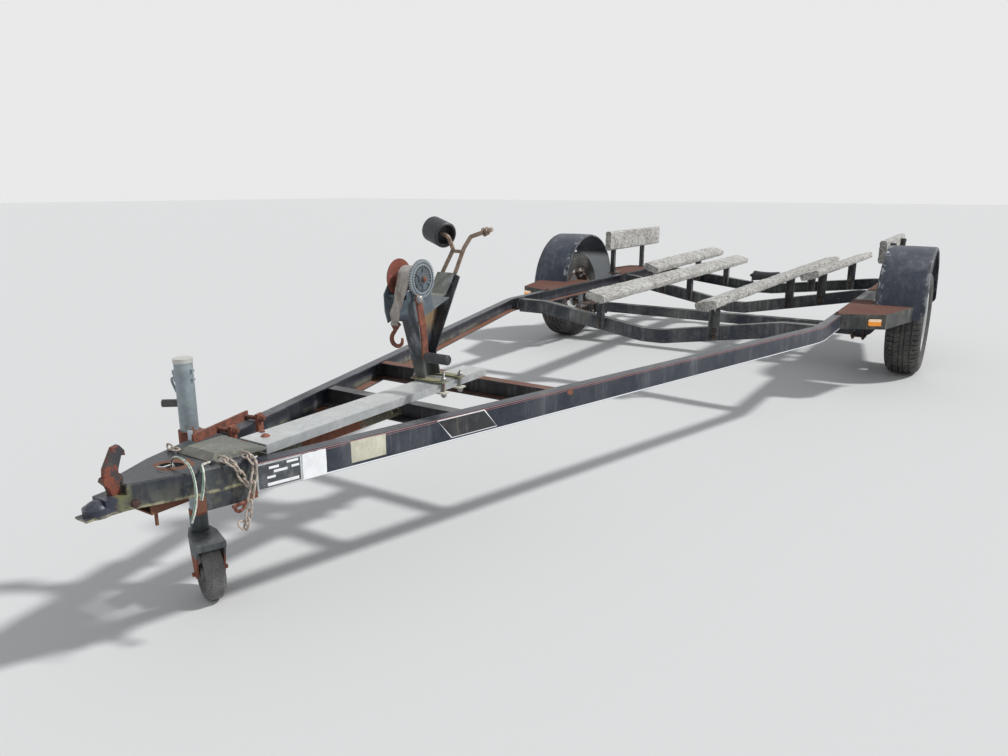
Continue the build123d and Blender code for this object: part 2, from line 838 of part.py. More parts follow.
# bunk: for each bracket its place across and the member that carries it
BRACKETS = {
    "bunk_inner_left": ((352.0, "cross_front"), (372.0, "cross_middle"), (360.0, "cross_rear")),
    "bunk_inner_right": ((-314.0, "cross_front"), (-352.0, "cross_middle"), (-318.0, "cross_rear")),
    "bunk_outer_left": ((578.0, "cross_middle"), (640.0, "cross_rear")),
    "bunk_outer_right": ((-560.0, "cross_middle"), (-560.0, "cross_rear")),
}


def member_values(name):
    return REAR_CROSS if name == "cross_rear" else DROP_MEMBERS[name]


def member_centre(name, x):
    """Centre height of a drop-centre member at x."""
    front, floor_half, floor_z, slope_half = member_values(name)
    share = (abs(x) - floor_half) / (slope_half - floor_half)
    return floor_z + (DROP_END_Z - floor_z) * min(1.0, max(0.0, share))


def member_top(name, x):
    """Height of the top of a drop-centre member at x, on its slope."""
    front, floor_half, floor_z, slope_half = member_values(name)
    slope = atan((DROP_END_Z - floor_z) / (slope_half - floor_half))
    return member_centre(name, x) + DROP_HEIGHT / 2 / cos(slope)


def make_brackets():
    """Upright angles bolted to the front faces of the members, up to the bunks."""
    with BuildPart() as brackets:
        for bunk, places in BRACKETS.items():
            for x, member in places:
                front = member_values(member)[0]
                bottom = member_centre(member, x) - DROP_HEIGHT / 2 + 6
                edge = 1 if x > 0 else -1
                outer = x - edge * BRACKET_WIDTH / 2
                # the two sides across, distance ahead of the member's face, depth
                plates = (
                    (x - BRACKET_WIDTH / 2, x + BRACKET_WIDTH / 2, BRACKET_WALL),
                    (outer, outer + edge * BRACKET_WALL, BRACKET_LEG),
                )
                for left, right, depth in plates:
                    tops = [
                        min(bunk_under(bunk, spot, front), bunk_under(bunk, spot, front + depth)) - SEAT_GAP
                        for spot in (left, right)
                    ]
                    with BuildSketch(across(ahead(front) - SEAT_GAP)):
                        with BuildLine():
                            Polyline((left, bottom), (right, bottom), (right, tops[1]), (left, tops[0]), close=True)
                        make_face()
                    extrude(amount=depth)
    return brackets.part


def make_guide_board():
    with BuildPart() as board:
        with BuildSketch(across(ahead(-GUIDE_FRONT_BEHIND))):
            with Locations((GUIDE_IN + GUIDE_THICK / 2, GUIDE_BOTTOM + GUIDE_HEIGHT / 2)):
                RectangleRounded(GUIDE_THICK, GUIDE_HEIGHT, BUNK_EDGE_R)
        extrude(amount=GUIDE_FRONT_BEHIND - GUIDE_REAR_BEHIND)
    return board.part


def make_guide_posts():
    """Two square posts from the rear step up the outside of the board, each on a foot plate."""
    foot = 4.0
    bottom = STEP_Z + STEP_SHEET + SEAT_GAP
    x = GUIDE_IN + GUIDE_THICK + SEAT_GAP + GUIDE_POST / 2
    with BuildPart() as posts:
        for behind in GUIDE_POSTS_BEHIND:
            with BuildSketch(Plane.XY.offset(bottom)):
                with Locations((x - 20, ahead(-behind))):
                    Rectangle(GUIDE_POST + 44, GUIDE_POST + 30)
            extrude(amount=foot)
            with BuildSketch(Plane.XY.offset(bottom)):
                with Locations((x, ahead(-behind))):
                    Rectangle(GUIDE_POST, GUIDE_POST)
            extrude(amount=GUIDE_BOTTOM + GUIDE_HEIGHT - 22 - bottom)
    return posts.part


# Keel roller


def keel_y():
    return ahead(REAR_CROSS[0]) + DROP_DEPTH / 2


def make_keel_roller():
    half = KEEL_ROLLER_LENGTH / 2
    plane = Plane(origin=(0, keel_y(), KEEL_ROLLER_Z), x_dir=(1, 0, 0), z_dir=(0, -1, 0))
    with BuildPart() as roller:
        with BuildSketch(plane):
            with BuildLine():
                bore = KEEL_SHAFT_R + ROLLER_CLEAR
                Polyline((-half, bore), (half, bore), (half, KEEL_ROLLER_R - 3), (half - 6, KEEL_ROLLER_R))
                ThreePointArc((half - 6, KEEL_ROLLER_R), (0, KEEL_ROLLER_R - 7), (6 - half, KEEL_ROLLER_R))
                Polyline((6 - half, KEEL_ROLLER_R), (-half, KEEL_ROLLER_R - 3), (-half, bore))
            make_face()
        revolve(axis=Axis((0, keel_y(), KEEL_ROLLER_Z), (1, 0, 0)))
    return roller.part


def make_keel_bracket():
    """Foot on the rear member, two ears and the shaft through them."""
    gap = 5.5
    inside = KEEL_ROLLER_LENGTH / 2 + gap
    with BuildPart() as bracket:
        for side in (1, -1):
            base = member_top("cross_rear", inside + KEEL_EAR) + SEAT_GAP
            with BuildSketch(along(side * inside)):
                with BuildLine():
                    Polyline(
                        (keel_y() - 22, base), (keel_y() + 22, base), (keel_y() + 22, KEEL_ROLLER_Z), (keel_y() - 22, KEEL_ROLLER_Z),
                        close=True,
                    )
                make_face()
                with Locations((keel_y(), KEEL_ROLLER_Z)):
                    Circle(22)
            extrude(amount=side * KEEL_EAR)
        with BuildSketch(along(-inside - KEEL_EAR - 10)):
            with Locations((keel_y(), KEEL_ROLLER_Z)):
                Circle(KEEL_SHAFT_R)
        extrude(amount=2 * (inside + KEEL_EAR + 10))
    return bracket.part


# Tongue box and spine


def box_plane():
    start = Vector(BOX_FRONT[0], ahead(BOX_FRONT[1]), BOX_BOTTOM + BOX_HEIGHT / 2)
    end = Vector(BOX_REAR[0], ahead(BOX_REAR[1]), BOX_BOTTOM + BOX_HEIGHT / 2)
    return Plane(origin=start, x_dir=(1, 0, 0), z_dir=end - start), (end - start).length


def make_tongue_box():
    plane, length = box_plane()
    with BuildPart() as box:
        with BuildSketch(plane):
            Rectangle(BOX_WIDTH, BOX_HEIGHT)
            Rectangle(BOX_WIDTH - 2 * BOX_WALL, BOX_HEIGHT - 2 * BOX_WALL, mode=Mode.SUBTRACT)
        extrude(amount=length)
    return box.part


def make_spine():
    """Inverted channel under the box, from the coupler to the front cross channel."""
    top = BOX_BOTTOM - SEAT_GAP
    start = ahead(BOX_FRONT[1] + 3)
    length = BOX_FRONT[1] + 3 - TONGUE_CROSS[0] - SEAT_GAP
    with BuildPart() as spine:
        with BuildSketch(across(start)):
            with Locations((SPINE_X, top - SPINE_HEIGHT / 2)):
                Rectangle(SPINE_WIDTH, SPINE_HEIGHT)
            with Locations((SPINE_X, top - SPINE_WALL - SPINE_HEIGHT / 2)):
                Rectangle(SPINE_WIDTH - 2 * SPINE_WALL, SPINE_HEIGHT, mode=Mode.SUBTRACT)
        extrude(amount=-length)
        with BuildSketch(along(SPINE_X + SPINE_WIDTH / 2 - 2 * SPINE_WALL)):
            with Locations((start + length - 26, top - SPINE_HEIGHT / 2 - 1)):
                SlotOverall(24, 13)
        extrude(amount=3 * SPINE_WALL, mode=Mode.SUBTRACT)
    return spine.part


# Coupler


def coupler_outline(wall):
    """Plan corners of the coupler, this far outside the rails."""

    def rail_side(distance):
        return rail_outer(distance) + (SEAT_GAP + wall) / cos(RAIL_SPLAY)

    neck = COUPLER_NECK_HALF + wall - COUPLER_WALL
    front_y = ahead(COUPLER_NECK_AHEAD)
    shoulder_y = ahead(SLEEVE_FRONT_AHEAD) - wall
    rear_y = ahead(SLEEVE_REAR_AHEAD)
    return (
        (-neck, front_y),
        (neck, front_y),
        (rail_side(SLEEVE_FRONT_AHEAD), shoulder_y),
        (rail_side(SLEEVE_REAR_AHEAD), rear_y),
        (-rail_side(SLEEVE_REAR_AHEAD), rear_y),
        (-rail_side(SLEEVE_FRONT_AHEAD), shoulder_y),
    )


def make_coupler():
    """Pressed coupler: tapering hood over the rails' noses and the domed ball socket."""
    dome_r = SOCKET_R + DOME_WALL
    ball = (0, ahead(BALL_AHEAD))
    with BuildPart() as coupler:
        with BuildSketch(Plane.XY.offset(COUPLER_REAR_BOTTOM)):
            with BuildLine():
                Polyline(*coupler_outline(COUPLER_WALL), close=True)
            make_face()
        extrude(amount=COUPLER_TOP - COUPLER_REAR_BOTTOM)
        chamfer(coupler.faces().sort_by(Axis.Z)[-1].edges().filter_by(Axis.Y, reverse=True), length=4)
        with BuildSketch(Plane.XY.offset(COUPLER_REAR_BOTTOM)):
            with BuildLine():
                Polyline(*coupler_outline(0.0), close=True)
            make_face()
        extrude(amount=COUPLER_TOP - COUPLER_WALL - COUPLER_REAR_BOTTOM, mode=Mode.SUBTRACT)
        with BuildSketch(Plane.XY.offset(COUPLER_REAR_BOTTOM)):
            with Locations((0, ahead(SLEEVE_FRONT_AHEAD) - 150)):
                Rectangle(400, 300)
        extrude(amount=COUPLER_FRONT_BOTTOM - COUPLER_REAR_BOTTOM, mode=Mode.SUBTRACT)
        with BuildSketch(Plane.XY.offset(COUPLER_FRONT_BOTTOM)):
            with BuildLine():
                front_y = ahead(COUPLER_NECK_AHEAD)
                Polyline(
                    (-NOSE_HALF - 4, ahead(BALL_AHEAD) + 6),
                    (NOSE_HALF + 4, ahead(BALL_AHEAD) + 6),
                    (COUPLER_NECK_HALF, front_y + 2),
                    (-COUPLER_NECK_HALF, front_y + 2),
                    close=True,
                )
            make_face()
        extrude(amount=SADDLE_TOP - COUPLER_FRONT_BOTTOM)
        with BuildSketch(Plane.XY.offset(COUPLER_FRONT_BOTTOM)):
            with Locations(ball):
                Circle(dome_r)
                Rectangle(2 * NOSE_HALF, 2 * (NOSE_AHEAD - BALL_AHEAD))
        extrude(amount=5)
        with BuildSketch(Plane.XY.offset(COUPLER_FRONT_BOTTOM)):
            with Locations(ball):
                Circle(dome_r)
        extrude(amount=SOCKET_Z - COUPLER_FRONT_BOTTOM)
        with Locations((0, ahead(BALL_AHEAD), SOCKET_Z)):
            Sphere(dome_r, arc_size1=0)
        with BuildSketch(Plane.XY.offset(COUPLER_FRONT_BOTTOM)):
            with Locations(ball):
                Circle(SOCKET_R)
        extrude(amount=SOCKET_Z - COUPLER_FRONT_BOTTOM, mode=Mode.SUBTRACT)
        with Locations((0, ahead(BALL_AHEAD), SOCKET_Z)):
            Sphere(SOCKET_R, arc_size1=0, mode=Mode.SUBTRACT)
        front, rear = TRAY_AHEAD
        half = TRAY_HALF
        # x of the middle, width, bottom, height
        for x, width, bottom, height in (
            (half - 2, 4, TRAY_BOTTOM, COUPLER_TOP - 3 - TRAY_BOTTOM),
            (2 - half, 4, TRAY_BOTTOM, COUPLER_TOP - 3 - TRAY_BOTTOM),
            (0, 2 * half, TRAY_BOTTOM, 4),
        ):
            with Locations((x, ahead((front + rear) / 2), bottom + height / 2)):
                Box(width, front - rear, height)
        # the sleeve that the wiring comes up through, and the clip that holds its rear branch
        with Locations((10, ahead(4166), (TRAY_BOTTOM + LOOM_TOP) / 2)):
            Box(24, 12, LOOM_TOP - TRAY_BOTTOM)
        with Locations((80, ahead(4112), COUPLER_TOP + 4)):
            Box(10, 6, 12)
        with BuildSketch(Plane.XY.offset(TRAY_BOTTOM)):
            with Locations((half - 10, ahead(front) + 16)):
                Circle(4)
        extrude(amount=-32)
        with BuildSketch(Plane.XY.offset(COUPLER_TOP - 2 * COUPLER_WALL)):
            with Locations(Location((HOLE_X, ahead(HOLE_AHEAD), 0), (0, 0, HOLE_TURN))):
                Ellipse(HOLE_LONG / 2, HOLE_WIDE / 2)
        extrude(amount=3 * COUPLER_WALL, mode=Mode.SUBTRACT)
    return coupler.part


def make_latch():
    """Folded lever that stands up over its base on the coupler's neck."""
    with BuildPart() as latch:
        for half, corners in LATCH:
            with BuildSketch(along(-half)):
                with BuildLine():
                    Polyline(*[(ahead(BALL_AHEAD - behind), COUPLER_TOP + up) for behind, up in corners], close=True)
                make_face()
            extrude(amount=2 * half)
    return latch.part


def make_cap():
    """Folded plate over the tail of the coupler, its crest across the front."""
    base = COUPLER_TOP + SEAT_GAP
    with BuildPart() as cap:
        for behind, left, right, top_left, top_right, height in CAP_SECTIONS:
            with BuildSketch(across(ahead(SLEEVE_REAR_AHEAD - behind))):
                with BuildLine():
                    Polyline((left, base), (right, base), (top_right, base + height), (top_left, base + height), close=True)
                make_face()
        loft(ruled=True)
    return cap.part


# Winch, its stand and the bow stop


def stand_base():
    return BOX_TOP + SEAT_GAP


def stand_point(behind, up):
    """A corner of the stand's side view, from BOW_AHEAD and the stand's base."""
    return (ahead(BOW_AHEAD - behind), stand_base() + up)


def make_stand():
    """Folded stand: a side web, tapering front and rear flanges, and a deck that kinks up behind the winch."""
    names = ("front_low", "front_top", "kink", "crest", "corner", "rear_low", "rear_foot")
    spots = {name: stand_point(*corner) for name, corner in zip(names, STAND_SIDE)}
    # the two corners in side view and the depth at each
    flanges = (
        ("front_low", "front_top", STAND_NARROW, STAND_DEPTH),
        ("front_top", "kink", STAND_DEPTH, STAND_DEPTH),
        ("kink", "crest", STAND_DEPTH, STAND_DEPTH),
        ("crest", "corner", STAND_DEPTH, STAND_DEPTH),
        ("corner", "rear_low", STAND_DEPTH, STAND_NARROW - 6),
        ("rear_low", "rear_foot", STAND_NARROW - 6, STAND_NARROW),
    )
    hollow_corners = ("kink", "rear_low")
    lap = 1.25
    with BuildPart() as stand:
        with BuildSketch(along(STAND_X)):
            with BuildLine():
                Polyline(*spots.values(), close=True)
            make_face()
        extrude(amount=STAND_WALL)
        for start, end, depth_start, depth_end in flanges:
            a, b = spots[start], spots[end]
            run = Vector(0, b[0] - a[0], b[1] - a[1])
            length = run.length
            outward = Vector(1, 0, 0).cross(run).normalized()
            low = -lap if start in hollow_corners else 0
            high = length + lap if end in hollow_corners else length
            with BuildSketch(Plane(origin=(STAND_X, a[0], a[1]), x_dir=(1, 0, 0), z_dir=outward)):
                with BuildLine():
                    Polyline((0, low), (depth_start, low), (depth_end, high), (0, high), close=True)
                make_face()
            extrude(amount=-STAND_WALL)
        with BuildSketch(Plane.XY.offset(stand_base())):
            with Locations((BOX_REAR[0], ahead(BOW_AHEAD) - 82)):
                Rectangle(BOX_WIDTH - 4, 126)
        extrude(amount=4)
    return stand.part


def pinion_centre():
    return (ahead(GEAR_AHEAD) - 38, GEAR_Z - 57)


def deck_line():
    """Front end of the winch's base on the stand's deck, as y and z, and the deck's slope."""
    low, high = stand_point(*STAND_SIDE[1]), stand_point(*STAND_SIDE[2])
    slope = atan2(high[1] - low[1], high[0] - low[0])
    start_y = low[0] - WINCH_OVERHANG * cos(slope) - SEAT_GAP * sin(slope)
    start_z = low[1] - WINCH_OVERHANG * sin(slope) + SEAT_GAP * cos(slope)
    return (start_y, start_z), slope


def make_winch_frame():
    """Folded winch frame: two cheeks and a sloping base on top of the stand."""
    start, slope = deck_line()
    length = 206.0
    wall = 3.5
    left = DRUM_IN - 10
    right = DRUM_OUT + 10

    def point(run, rise):
        return (start[0] + run * cos(slope) - rise * sin(slope), start[1] + run * sin(slope) + rise * cos(slope))

    with BuildPart() as frame:
        with BuildSketch(along(left)):
            with BuildLine():
                Polyline(point(20, 0), point(length, 0), point(length, wall), point(20, wall), close=True)
            make_face()
        extrude(amount=right - left)
        for x in (left, right - wall):
            with BuildSketch(along(x)):
                with BuildLine():
                    Polyline(*[point(run, rise) for run, rise in CHEEK], close=True)
                make_face()
            extrude(amount=wall)
        # centre, radius, near end
        shafts = (
            ((ahead(GEAR_AHEAD), GEAR_Z), 9.0, GEAR_X + GEAR_THICK + 9),
            (pinion_centre(), 7.5, CRANK_X + CRANK_THICK + 8),
        )
        for centre, radius, tip in shafts:
            with BuildSketch(along(left - 5)):
                with Locations(centre):
                    Circle(radius)
            extrude(amount=tip - left + 5)
    return frame.part


def make_gear():
    """Toothed wheel beside the near cheek, with its ring of slots, ribs and boss."""
    pitch = 2 * pi * GEAR_R / GEAR_TEETH
    plane = Plane(origin=(GEAR_X, ahead(GEAR_AHEAD), GEAR_Z), x_dir=(0, 1, 0), z_dir=(1, 0, 0))
    with BuildPart() as gear:
        with BuildSketch(plane):
            Circle(GEAR_R - TOOTH_DEPTH)
            with PolarLocations(GEAR_R - TOOTH_DEPTH / 2 - 0.5, GEAR_TEETH):
                Trapezoid(pitch * 0.62, TOOTH_DEPTH + 1, 78, rotation=-90)
            Circle(9.3, mode=Mode.SUBTRACT)
        extrude(amount=GEAR_THICK)
        with BuildSketch(plane):
            with PolarLocations(GEAR_SLOT_R, GEAR_SLOTS):
                Rectangle(8, 3.2)
        extrude(amount=GEAR_THICK, mode=Mode.SUBTRACT)
        with BuildSketch(plane):
            Circle(20)
            with PolarLocations(26, 6, start_angle=30):
                Rectangle(22, 5)
            Circle(9.3, mode=Mode.SUBTRACT)
        extrude(amount=GEAR_THICK + 3)
    return gear.part


def make_drum():
    """Drum with a flange on its far side; the gear's cheek closes the near side."""
    centre = (ahead(GEAR_AHEAD), GEAR_Z)
    with BuildPart() as drum:
        for x, width, radius in ((DRUM_IN, DRUM_OUT - DRUM_IN, DRUM_R), (DRUM_IN, 3.0, DRUM_FLANGE_R)):
            with BuildSketch(along(x)):
                with Locations(centre):
                    Circle(radius)
                    Circle(9.3, mode=Mode.SUBTRACT)
            extrude(amount=width)
    return drum.part


def make_strap():
    """Webbing wound on the drum, its tail hanging down the front to the hook."""
    centre = (ahead(GEAR_AHEAD), GEAR_Z)
    thick = 4.0
    start = DRUM_OUT - STRAP_WIDTH - 2
    low = centre[1] - 75
    # height, x of the two edges, forward shift
    sections = (
        (centre[1], start, start + STRAP_WIDTH, 0.0),
        (centre[1] - 42, start - 3, start + STRAP_WIDTH - 6, 12.0),
        (low, start - 8, start + STRAP_WIDTH - 18, 13.0),
        ((low + STRAP_END_Z) / 2, HOOK_X - 17, HOOK_X + 24, 8.0),
        (STRAP_END_Z, HOOK_X - 14, HOOK_X + 14, 3.0),
    )
    with BuildPart() as strap:
        with BuildSketch(along(start)):
            with Locations(centre):
                Circle(STRAP_R)
                Circle(DRUM_R + SEAT_GAP, mode=Mode.SUBTRACT)
        extrude(amount=STRAP_WIDTH)
        for z, left, right, shift in sections:
            with BuildSketch(Plane(origin=((left + right) / 2, centre[0] - STRAP_R - shift + thick / 2, z))):
                Rectangle(right - left, thick)
        loft(ruled=True)
    return strap.part


def make_hook():
    """Ring through the strap's end and the open hook that hangs from it."""
    x = HOOK_X
    y = ahead(GEAR_AHEAD) - STRAP_R - 1
    wire = 4.0
    top = STRAP_END_Z - SEAT_GAP - wire
    with BuildPart() as hook:
        for left, right, high in ((x - 17, x + 17, top), (x - 9, x + 9, top - 14)):
            with BuildSketch(Plane(origin=(left, y, high), x_dir=(0, 1, 0), z_dir=(1, 0, 0))):
                RegularPolygon(wire, 8)
            extrude(amount=right - left)
        for side in (1, -1):
            with BuildLine():
                Line((x + side * 14, y, top), (x + side * 6, y, top - 14))
            with BuildSketch(Plane(origin=(x + side * 14, y, top), x_dir=(0, 1, 0), z_dir=(-side * 8, 0, -14))):
                RegularPolygon(wire, 8)
            sweep()
        with BuildLine():
            FilletPolyline(*[(x + run, y, top - drop) for run, drop in HOOK_LINE], radius=9)
        with BuildSketch(Plane(origin=(x + HOOK_LINE[0][0], y, top - HOOK_LINE[0][1]), z_dir=(0, 0, -1))):
            RegularPolygon(HOOK_BAR, 10)
        sweep()
    return hook.part


def crank_end():
    return (pinion_centre()[0] + 28, pinion_centre()[1] - CRANK_LENGTH)


def make_crank():
    """Flat bar on the pinion shaft, hanging down with a slight bend to a grip."""
    root = pinion_centre()
    knee = (root[0] + 22, root[1] - 0.54 * CRANK_LENGTH)
    with BuildPart() as crank:
        with BuildSketch(along(CRANK_X)):
            with BuildLine():
                Polyline(root, knee, crank_end())
            trace(line_width=CRANK_BAR)
            with Locations(root, knee, crank_end()):
                Circle(CRANK_BAR / 2)
            with Locations(root):
                Circle(7.5 + SEAT_GAP, mode=Mode.SUBTRACT)
        extrude(amount=CRANK_THICK)
    return crank.part


def make_grip():
    with BuildPart() as grip:
        with BuildSketch(along(CRANK_X + CRANK_THICK + SEAT_GAP)):
            with Locations(crank_end()):
                Circle(GRIP_R)
        extrude(amount=GRIP_LENGTH)
        chamfer(grip.faces().sort_by(Axis.X)[-1].edges(), length=3)
    return grip.part


def roller_way():
    """Direction of the bow roller's axle, from its far end to its near end."""
    return Vector(*BOW_ROLLER_WAY).normalized()


def roller_centre():
    return Vector(BOW_ROLLER_X, ahead(BOW_AHEAD), BOW_Z)


def make_bow_frame():
    """Two bent rods and their tie; the near one ends in a bare stub with its washers."""
    crest, corner = stand_point(*STAND_SIDE[3]), stand_point(*STAND_SIDE[4])
    y = (crest[0] + corner[0]) / 2 - 2
    slope = (crest[1] - corner[1]) / (corner[0] - crest[0])
    surface = crest[1] - slope * (y - crest[0])
    near = STAND_X + 11
    right = STAND_X + STAND_DEPTH - 7
    bend = roller_centre() + roller_way() * (BOW_ROLLER_LENGTH / 2 + 13)
    far = roller_centre() - roller_way() * (BOW_ROLLER_LENGTH / 2 + 6)
    # x of the foot, then first run across and up, the points after it, radius of the bends
    rods = (
        (near, 46.0, 78.0, (bend, far), 8.0),
        (right, 37.0, 84.0, (Vector(right + 66, y, surface + 128), Vector(right + 150, y, surface + 154)), 20.0),
    )
    with BuildPart() as frame:
        for x, run, rise, rest, bend_r in rods:
            lean = sin(atan2(run, rise))
            start = Vector(x, y, surface + ROD_R * hypot(lean, slope) + SEAT_GAP)
            after = start + Vector(run, 0, rise)
            with BuildLine():
                FilletPolyline(start, after, *rest, radius=bend_r)
            with BuildSketch(Plane(origin=start, z_dir=after - start)):
                Circle(ROD_R)
            sweep()
        with BuildSketch(along(near + 44)):
            with Locations((y, surface + 78)):
                RegularPolygon(ROD_R - 1, 8)
        extrude(amount=right - near - 12)
        tip = rods[1][3][1]
        way = (tip - rods[1][3][0]).normalized()
        for back, size, sides, length in ((34, 15, 12, 4), (24, 13, 6, 9)):
            with BuildSketch(Plane(origin=tip - way * back, z_dir=way)):
                RegularPolygon(size, sides)
            extrude(amount=length)
    return frame.part


def make_bow_roller():
    half = BOW_ROLLER_LENGTH / 2
    bore = ROD_R + ROLLER_CLEAR
    way = roller_way()
    centre = roller_centre()
    rim = BOW_ROLLER_R
    with BuildPart() as roller:
        with BuildSketch(Plane(origin=centre, x_dir=way, z_dir=way.cross(Vector(0, 0, 1)))):
            with BuildLine():
                Polyline(
                    (-half + 22, bore),
                    (half - 26, bore),
                    (half - 28, rim - 13),
                    (half, rim - 9),
                    (half, rim - 5),
                    (half - 5, rim),
                    (5 - half, rim),
                    (-half, rim - 5),
                    (-half, rim - 9),
                    (24 - half, rim - 13),
                    close=True,
                )
            make_face()
        revolve(axis=Axis(centre, way))
    return roller.part


# Tongue jack


def jack_plane(z):
    return Plane(origin=(JACK_X, ahead(JACK_AHEAD), z))


def make_jack_tube():
    with BuildPart() as tube:
        with BuildSketch(jack_plane(JACK_TUBE_BOTTOM)):
            Circle(JACK_TUBE_R)
            Circle(JACK_TUBE_R - JACK_TUBE_WALL, mode=Mode.SUBTRACT)
        extrude(amount=JACK_TUBE_TOP - JACK_TUBE_BOTTOM)
        with BuildSketch(jack_plane(JACK_TUBE_TOP - 6)):
            Circle(JACK_TUBE_R + 1.5)
        extrude(amount=12)
        with BuildSketch(across(ahead(JACK_AHEAD) - 8)):
            with BuildLine():
                edge = JACK_X - JACK_TUBE_R
                top = JACK_TUBE_TOP - 26
                Polyline((edge + 2, top), (edge - 17, top - 5), (edge - 17, top - 14), (edge + 2, top - 42), close=True)
            make_face()
        extrude(amount=-16)
        for drop in (26, 50):
            with Locations((JACK_X + JACK_TUBE_R + 2, ahead(JACK_AHEAD) + 8, JACK_TUBE_TOP - drop)):
                Box(8, 7, 5)
    return tube.part


def make_jack_crank():
    """Crank folded away behind the tube, its grip sticking out past it."""
    back = Vector(*JACK_CRANK_WAY, 0).normalized()
    side = back.cross(Vector(0, 0, 1)) * -1
    root = Vector(JACK_X, ahead(JACK_AHEAD), 0) + back * (JACK_TUBE_R + SEAT_GAP)
    high, low = JACK_TUBE_TOP - 38, JACK_TUBE_TOP - 126
    with BuildPart() as crank:
        with BuildSketch(Plane(origin=root, x_dir=side, z_dir=back)):
            with BuildLine():
                Line((0, high), (0, low))
            trace(line_width=16)
        extrude(amount=5)
        with BuildSketch(Plane(origin=root + back * 11 + Vector(0, 0, low) - side * 8, z_dir=side)):
            RegularPolygon(11, 12)
        extrude(amount=84)
    return crank.part


def make_jack_bracket():
    """Hoop round the tube, base plate on the rail's outer face, and two clamps over the rail."""
    base_ahead = JACK_AHEAD
    root = Vector(-rail_outer(base_ahead), ahead(base_ahead), 0)
    back = Vector(-sin(RAIL_SPLAY), cos(RAIL_SPLAY), 0)
    out = Vector(-cos(RAIL_SPLAY), -sin(RAIL_SPLAY), 0)
    plate_out = SEAT_GAP + 6

    def plane(z):
        return Plane(origin=root + Vector(0, 0, z), x_dir=back, z_dir=(0, 0, 1))

    tube = Vector(JACK_X, ahead(JACK_AHEAD), 0) - root
    tube_run, tube_out = tube.dot(back), tube.dot(out)
    hoop = JACK_TUBE_R + SEAT_GAP
    low = RAIL_BOTTOM - 2
    with BuildPart() as bracket:
        with BuildSketch(plane(low)):
            with Locations((82, plate_out / 2 + SEAT_GAP / 2)):
                Rectangle(236, 6)
        extrude(amount=RAIL_HEIGHT + 26)
        with BuildSketch(plane(RAIL_TOP - 30)):
            with Locations((tube_run, tube_out)):
                Circle(hoop + 5)
            with Locations((tube_run, (tube_out + plate_out) / 2 - 3)):
                Rectangle(40, tube_out - plate_out + 6)
            with Locations((tube_run, tube_out)):
                Circle(hoop, mode=Mode.SUBTRACT)
        extrude(amount=48)
        for run in (66, 188):
            with BuildSketch(plane(RAIL_BOTTOM - 6)):
                with Locations((run, -RAIL_FLANGE - SEAT_GAP - 5)):
                    Rectangle(24, 10)
            extrude(amount=RAIL_HEIGHT + 28)
            for z in (RAIL_TOP + 9, RAIL_BOTTOM - 8):
                rod = Plane(origin=root + Vector(0, 0, z) + back * run - out * STUD_REACH, x_dir=back, z_dir=out)
                with BuildSketch(rod):
                    RegularPolygon(6.2, 10)
                extrude(amount=STUD_REACH + plate_out + 12)
                with BuildSketch(rod.offset(STUD_REACH - RAIL_FLANGE - SEAT_GAP - 19)):
                    RegularPolygon(10, 6)
                extrude(amount=9)
    return bracket.part


def make_jack_leg():
    """Inner leg that the screw drives, with the stub that the caster turns on."""
    with BuildPart() as leg:
        with BuildSketch(jack_plane(CASTER_TOP + SEAT_GAP)):
            Circle(LEG_R)
        extrude(amount=560 - CASTER_TOP)
        with BuildSketch(jack_plane(CASTER_TOP - 40)):
            Circle(9)
        extrude(amount=50)
    return leg.part


def caster_way():
    return Vector(cos(radians(CASTER_ANGLE)), sin(radians(CASTER_ANGLE)), 0)


def caster_side():
    return Vector(-sin(radians(CASTER_ANGLE)), cos(radians(CASTER_ANGLE)), 0)


def jack_wheel_centre():
    return Vector(JACK_X, ahead(JACK_AHEAD), JACK_WHEEL_R) + caster_way() * CASTER_TRAIL


def make_fork():
    """Swivelling fork: socket on the stub, hooded crown and two arms down to the axle."""
    half = JACK_WHEEL_WIDTH / 2 + FORK_GAP
    crown_z = 2 * JACK_WHEEL_R + 10
    way, side = caster_way(), caster_side()
    centre = jack_wheel_centre()
    wide = half + FORK_WALL
    with BuildPart() as fork:
        with BuildSketch(jack_plane(crown_z)):
            Circle(24)
            Circle(9 + ROLLER_CLEAR, mode=Mode.SUBTRACT)
        extrude(amount=CASTER_TOP - crown_z)
        crown = Plane(origin=(JACK_X, ahead(JACK_AHEAD), crown_z), x_dir=way, z_dir=(0, 0, 1))
        with BuildSketch(crown):
            with BuildLine():
                reach = CASTER_TRAIL + FORK_NOSE
                Polyline((-28, -24), (26, -wide), (reach, -wide), (reach, wide), (26, wide), (-28, 24), close=True)
            make_face()
            Circle(9 + ROLLER_CLEAR, mode=Mode.SUBTRACT)
        extrude(amount=FORK_WALL)
        with BuildSketch(crown.offset(FORK_WALL)):
            with Locations((CASTER_TRAIL + FORK_NOSE - FORK_WALL / 2, 0)):
                Rectangle(FORK_WALL, 2 * wide)
        extrude(amount=-FORK_WALL - 12)
        for hand in (1, -1):
            arm = Plane(origin=centre + side * (hand * half), x_dir=way, z_dir=side * hand)
            top = crown_z - JACK_WHEEL_R + FORK_WALL
            with BuildSketch(arm):
                with BuildLine():
                    Polyline(*[(run, -hand * share * top) for run, share in FORK_ARM], close=True)
                make_face()
                Circle(13)
            extrude(amount=FORK_WALL)
        with BuildSketch(Plane(origin=centre - side * (half + FORK_WALL + 8), z_dir=side)):
            Circle(6)
        extrude(amount=2 * (half + FORK_WALL + 8))
    return fork.part


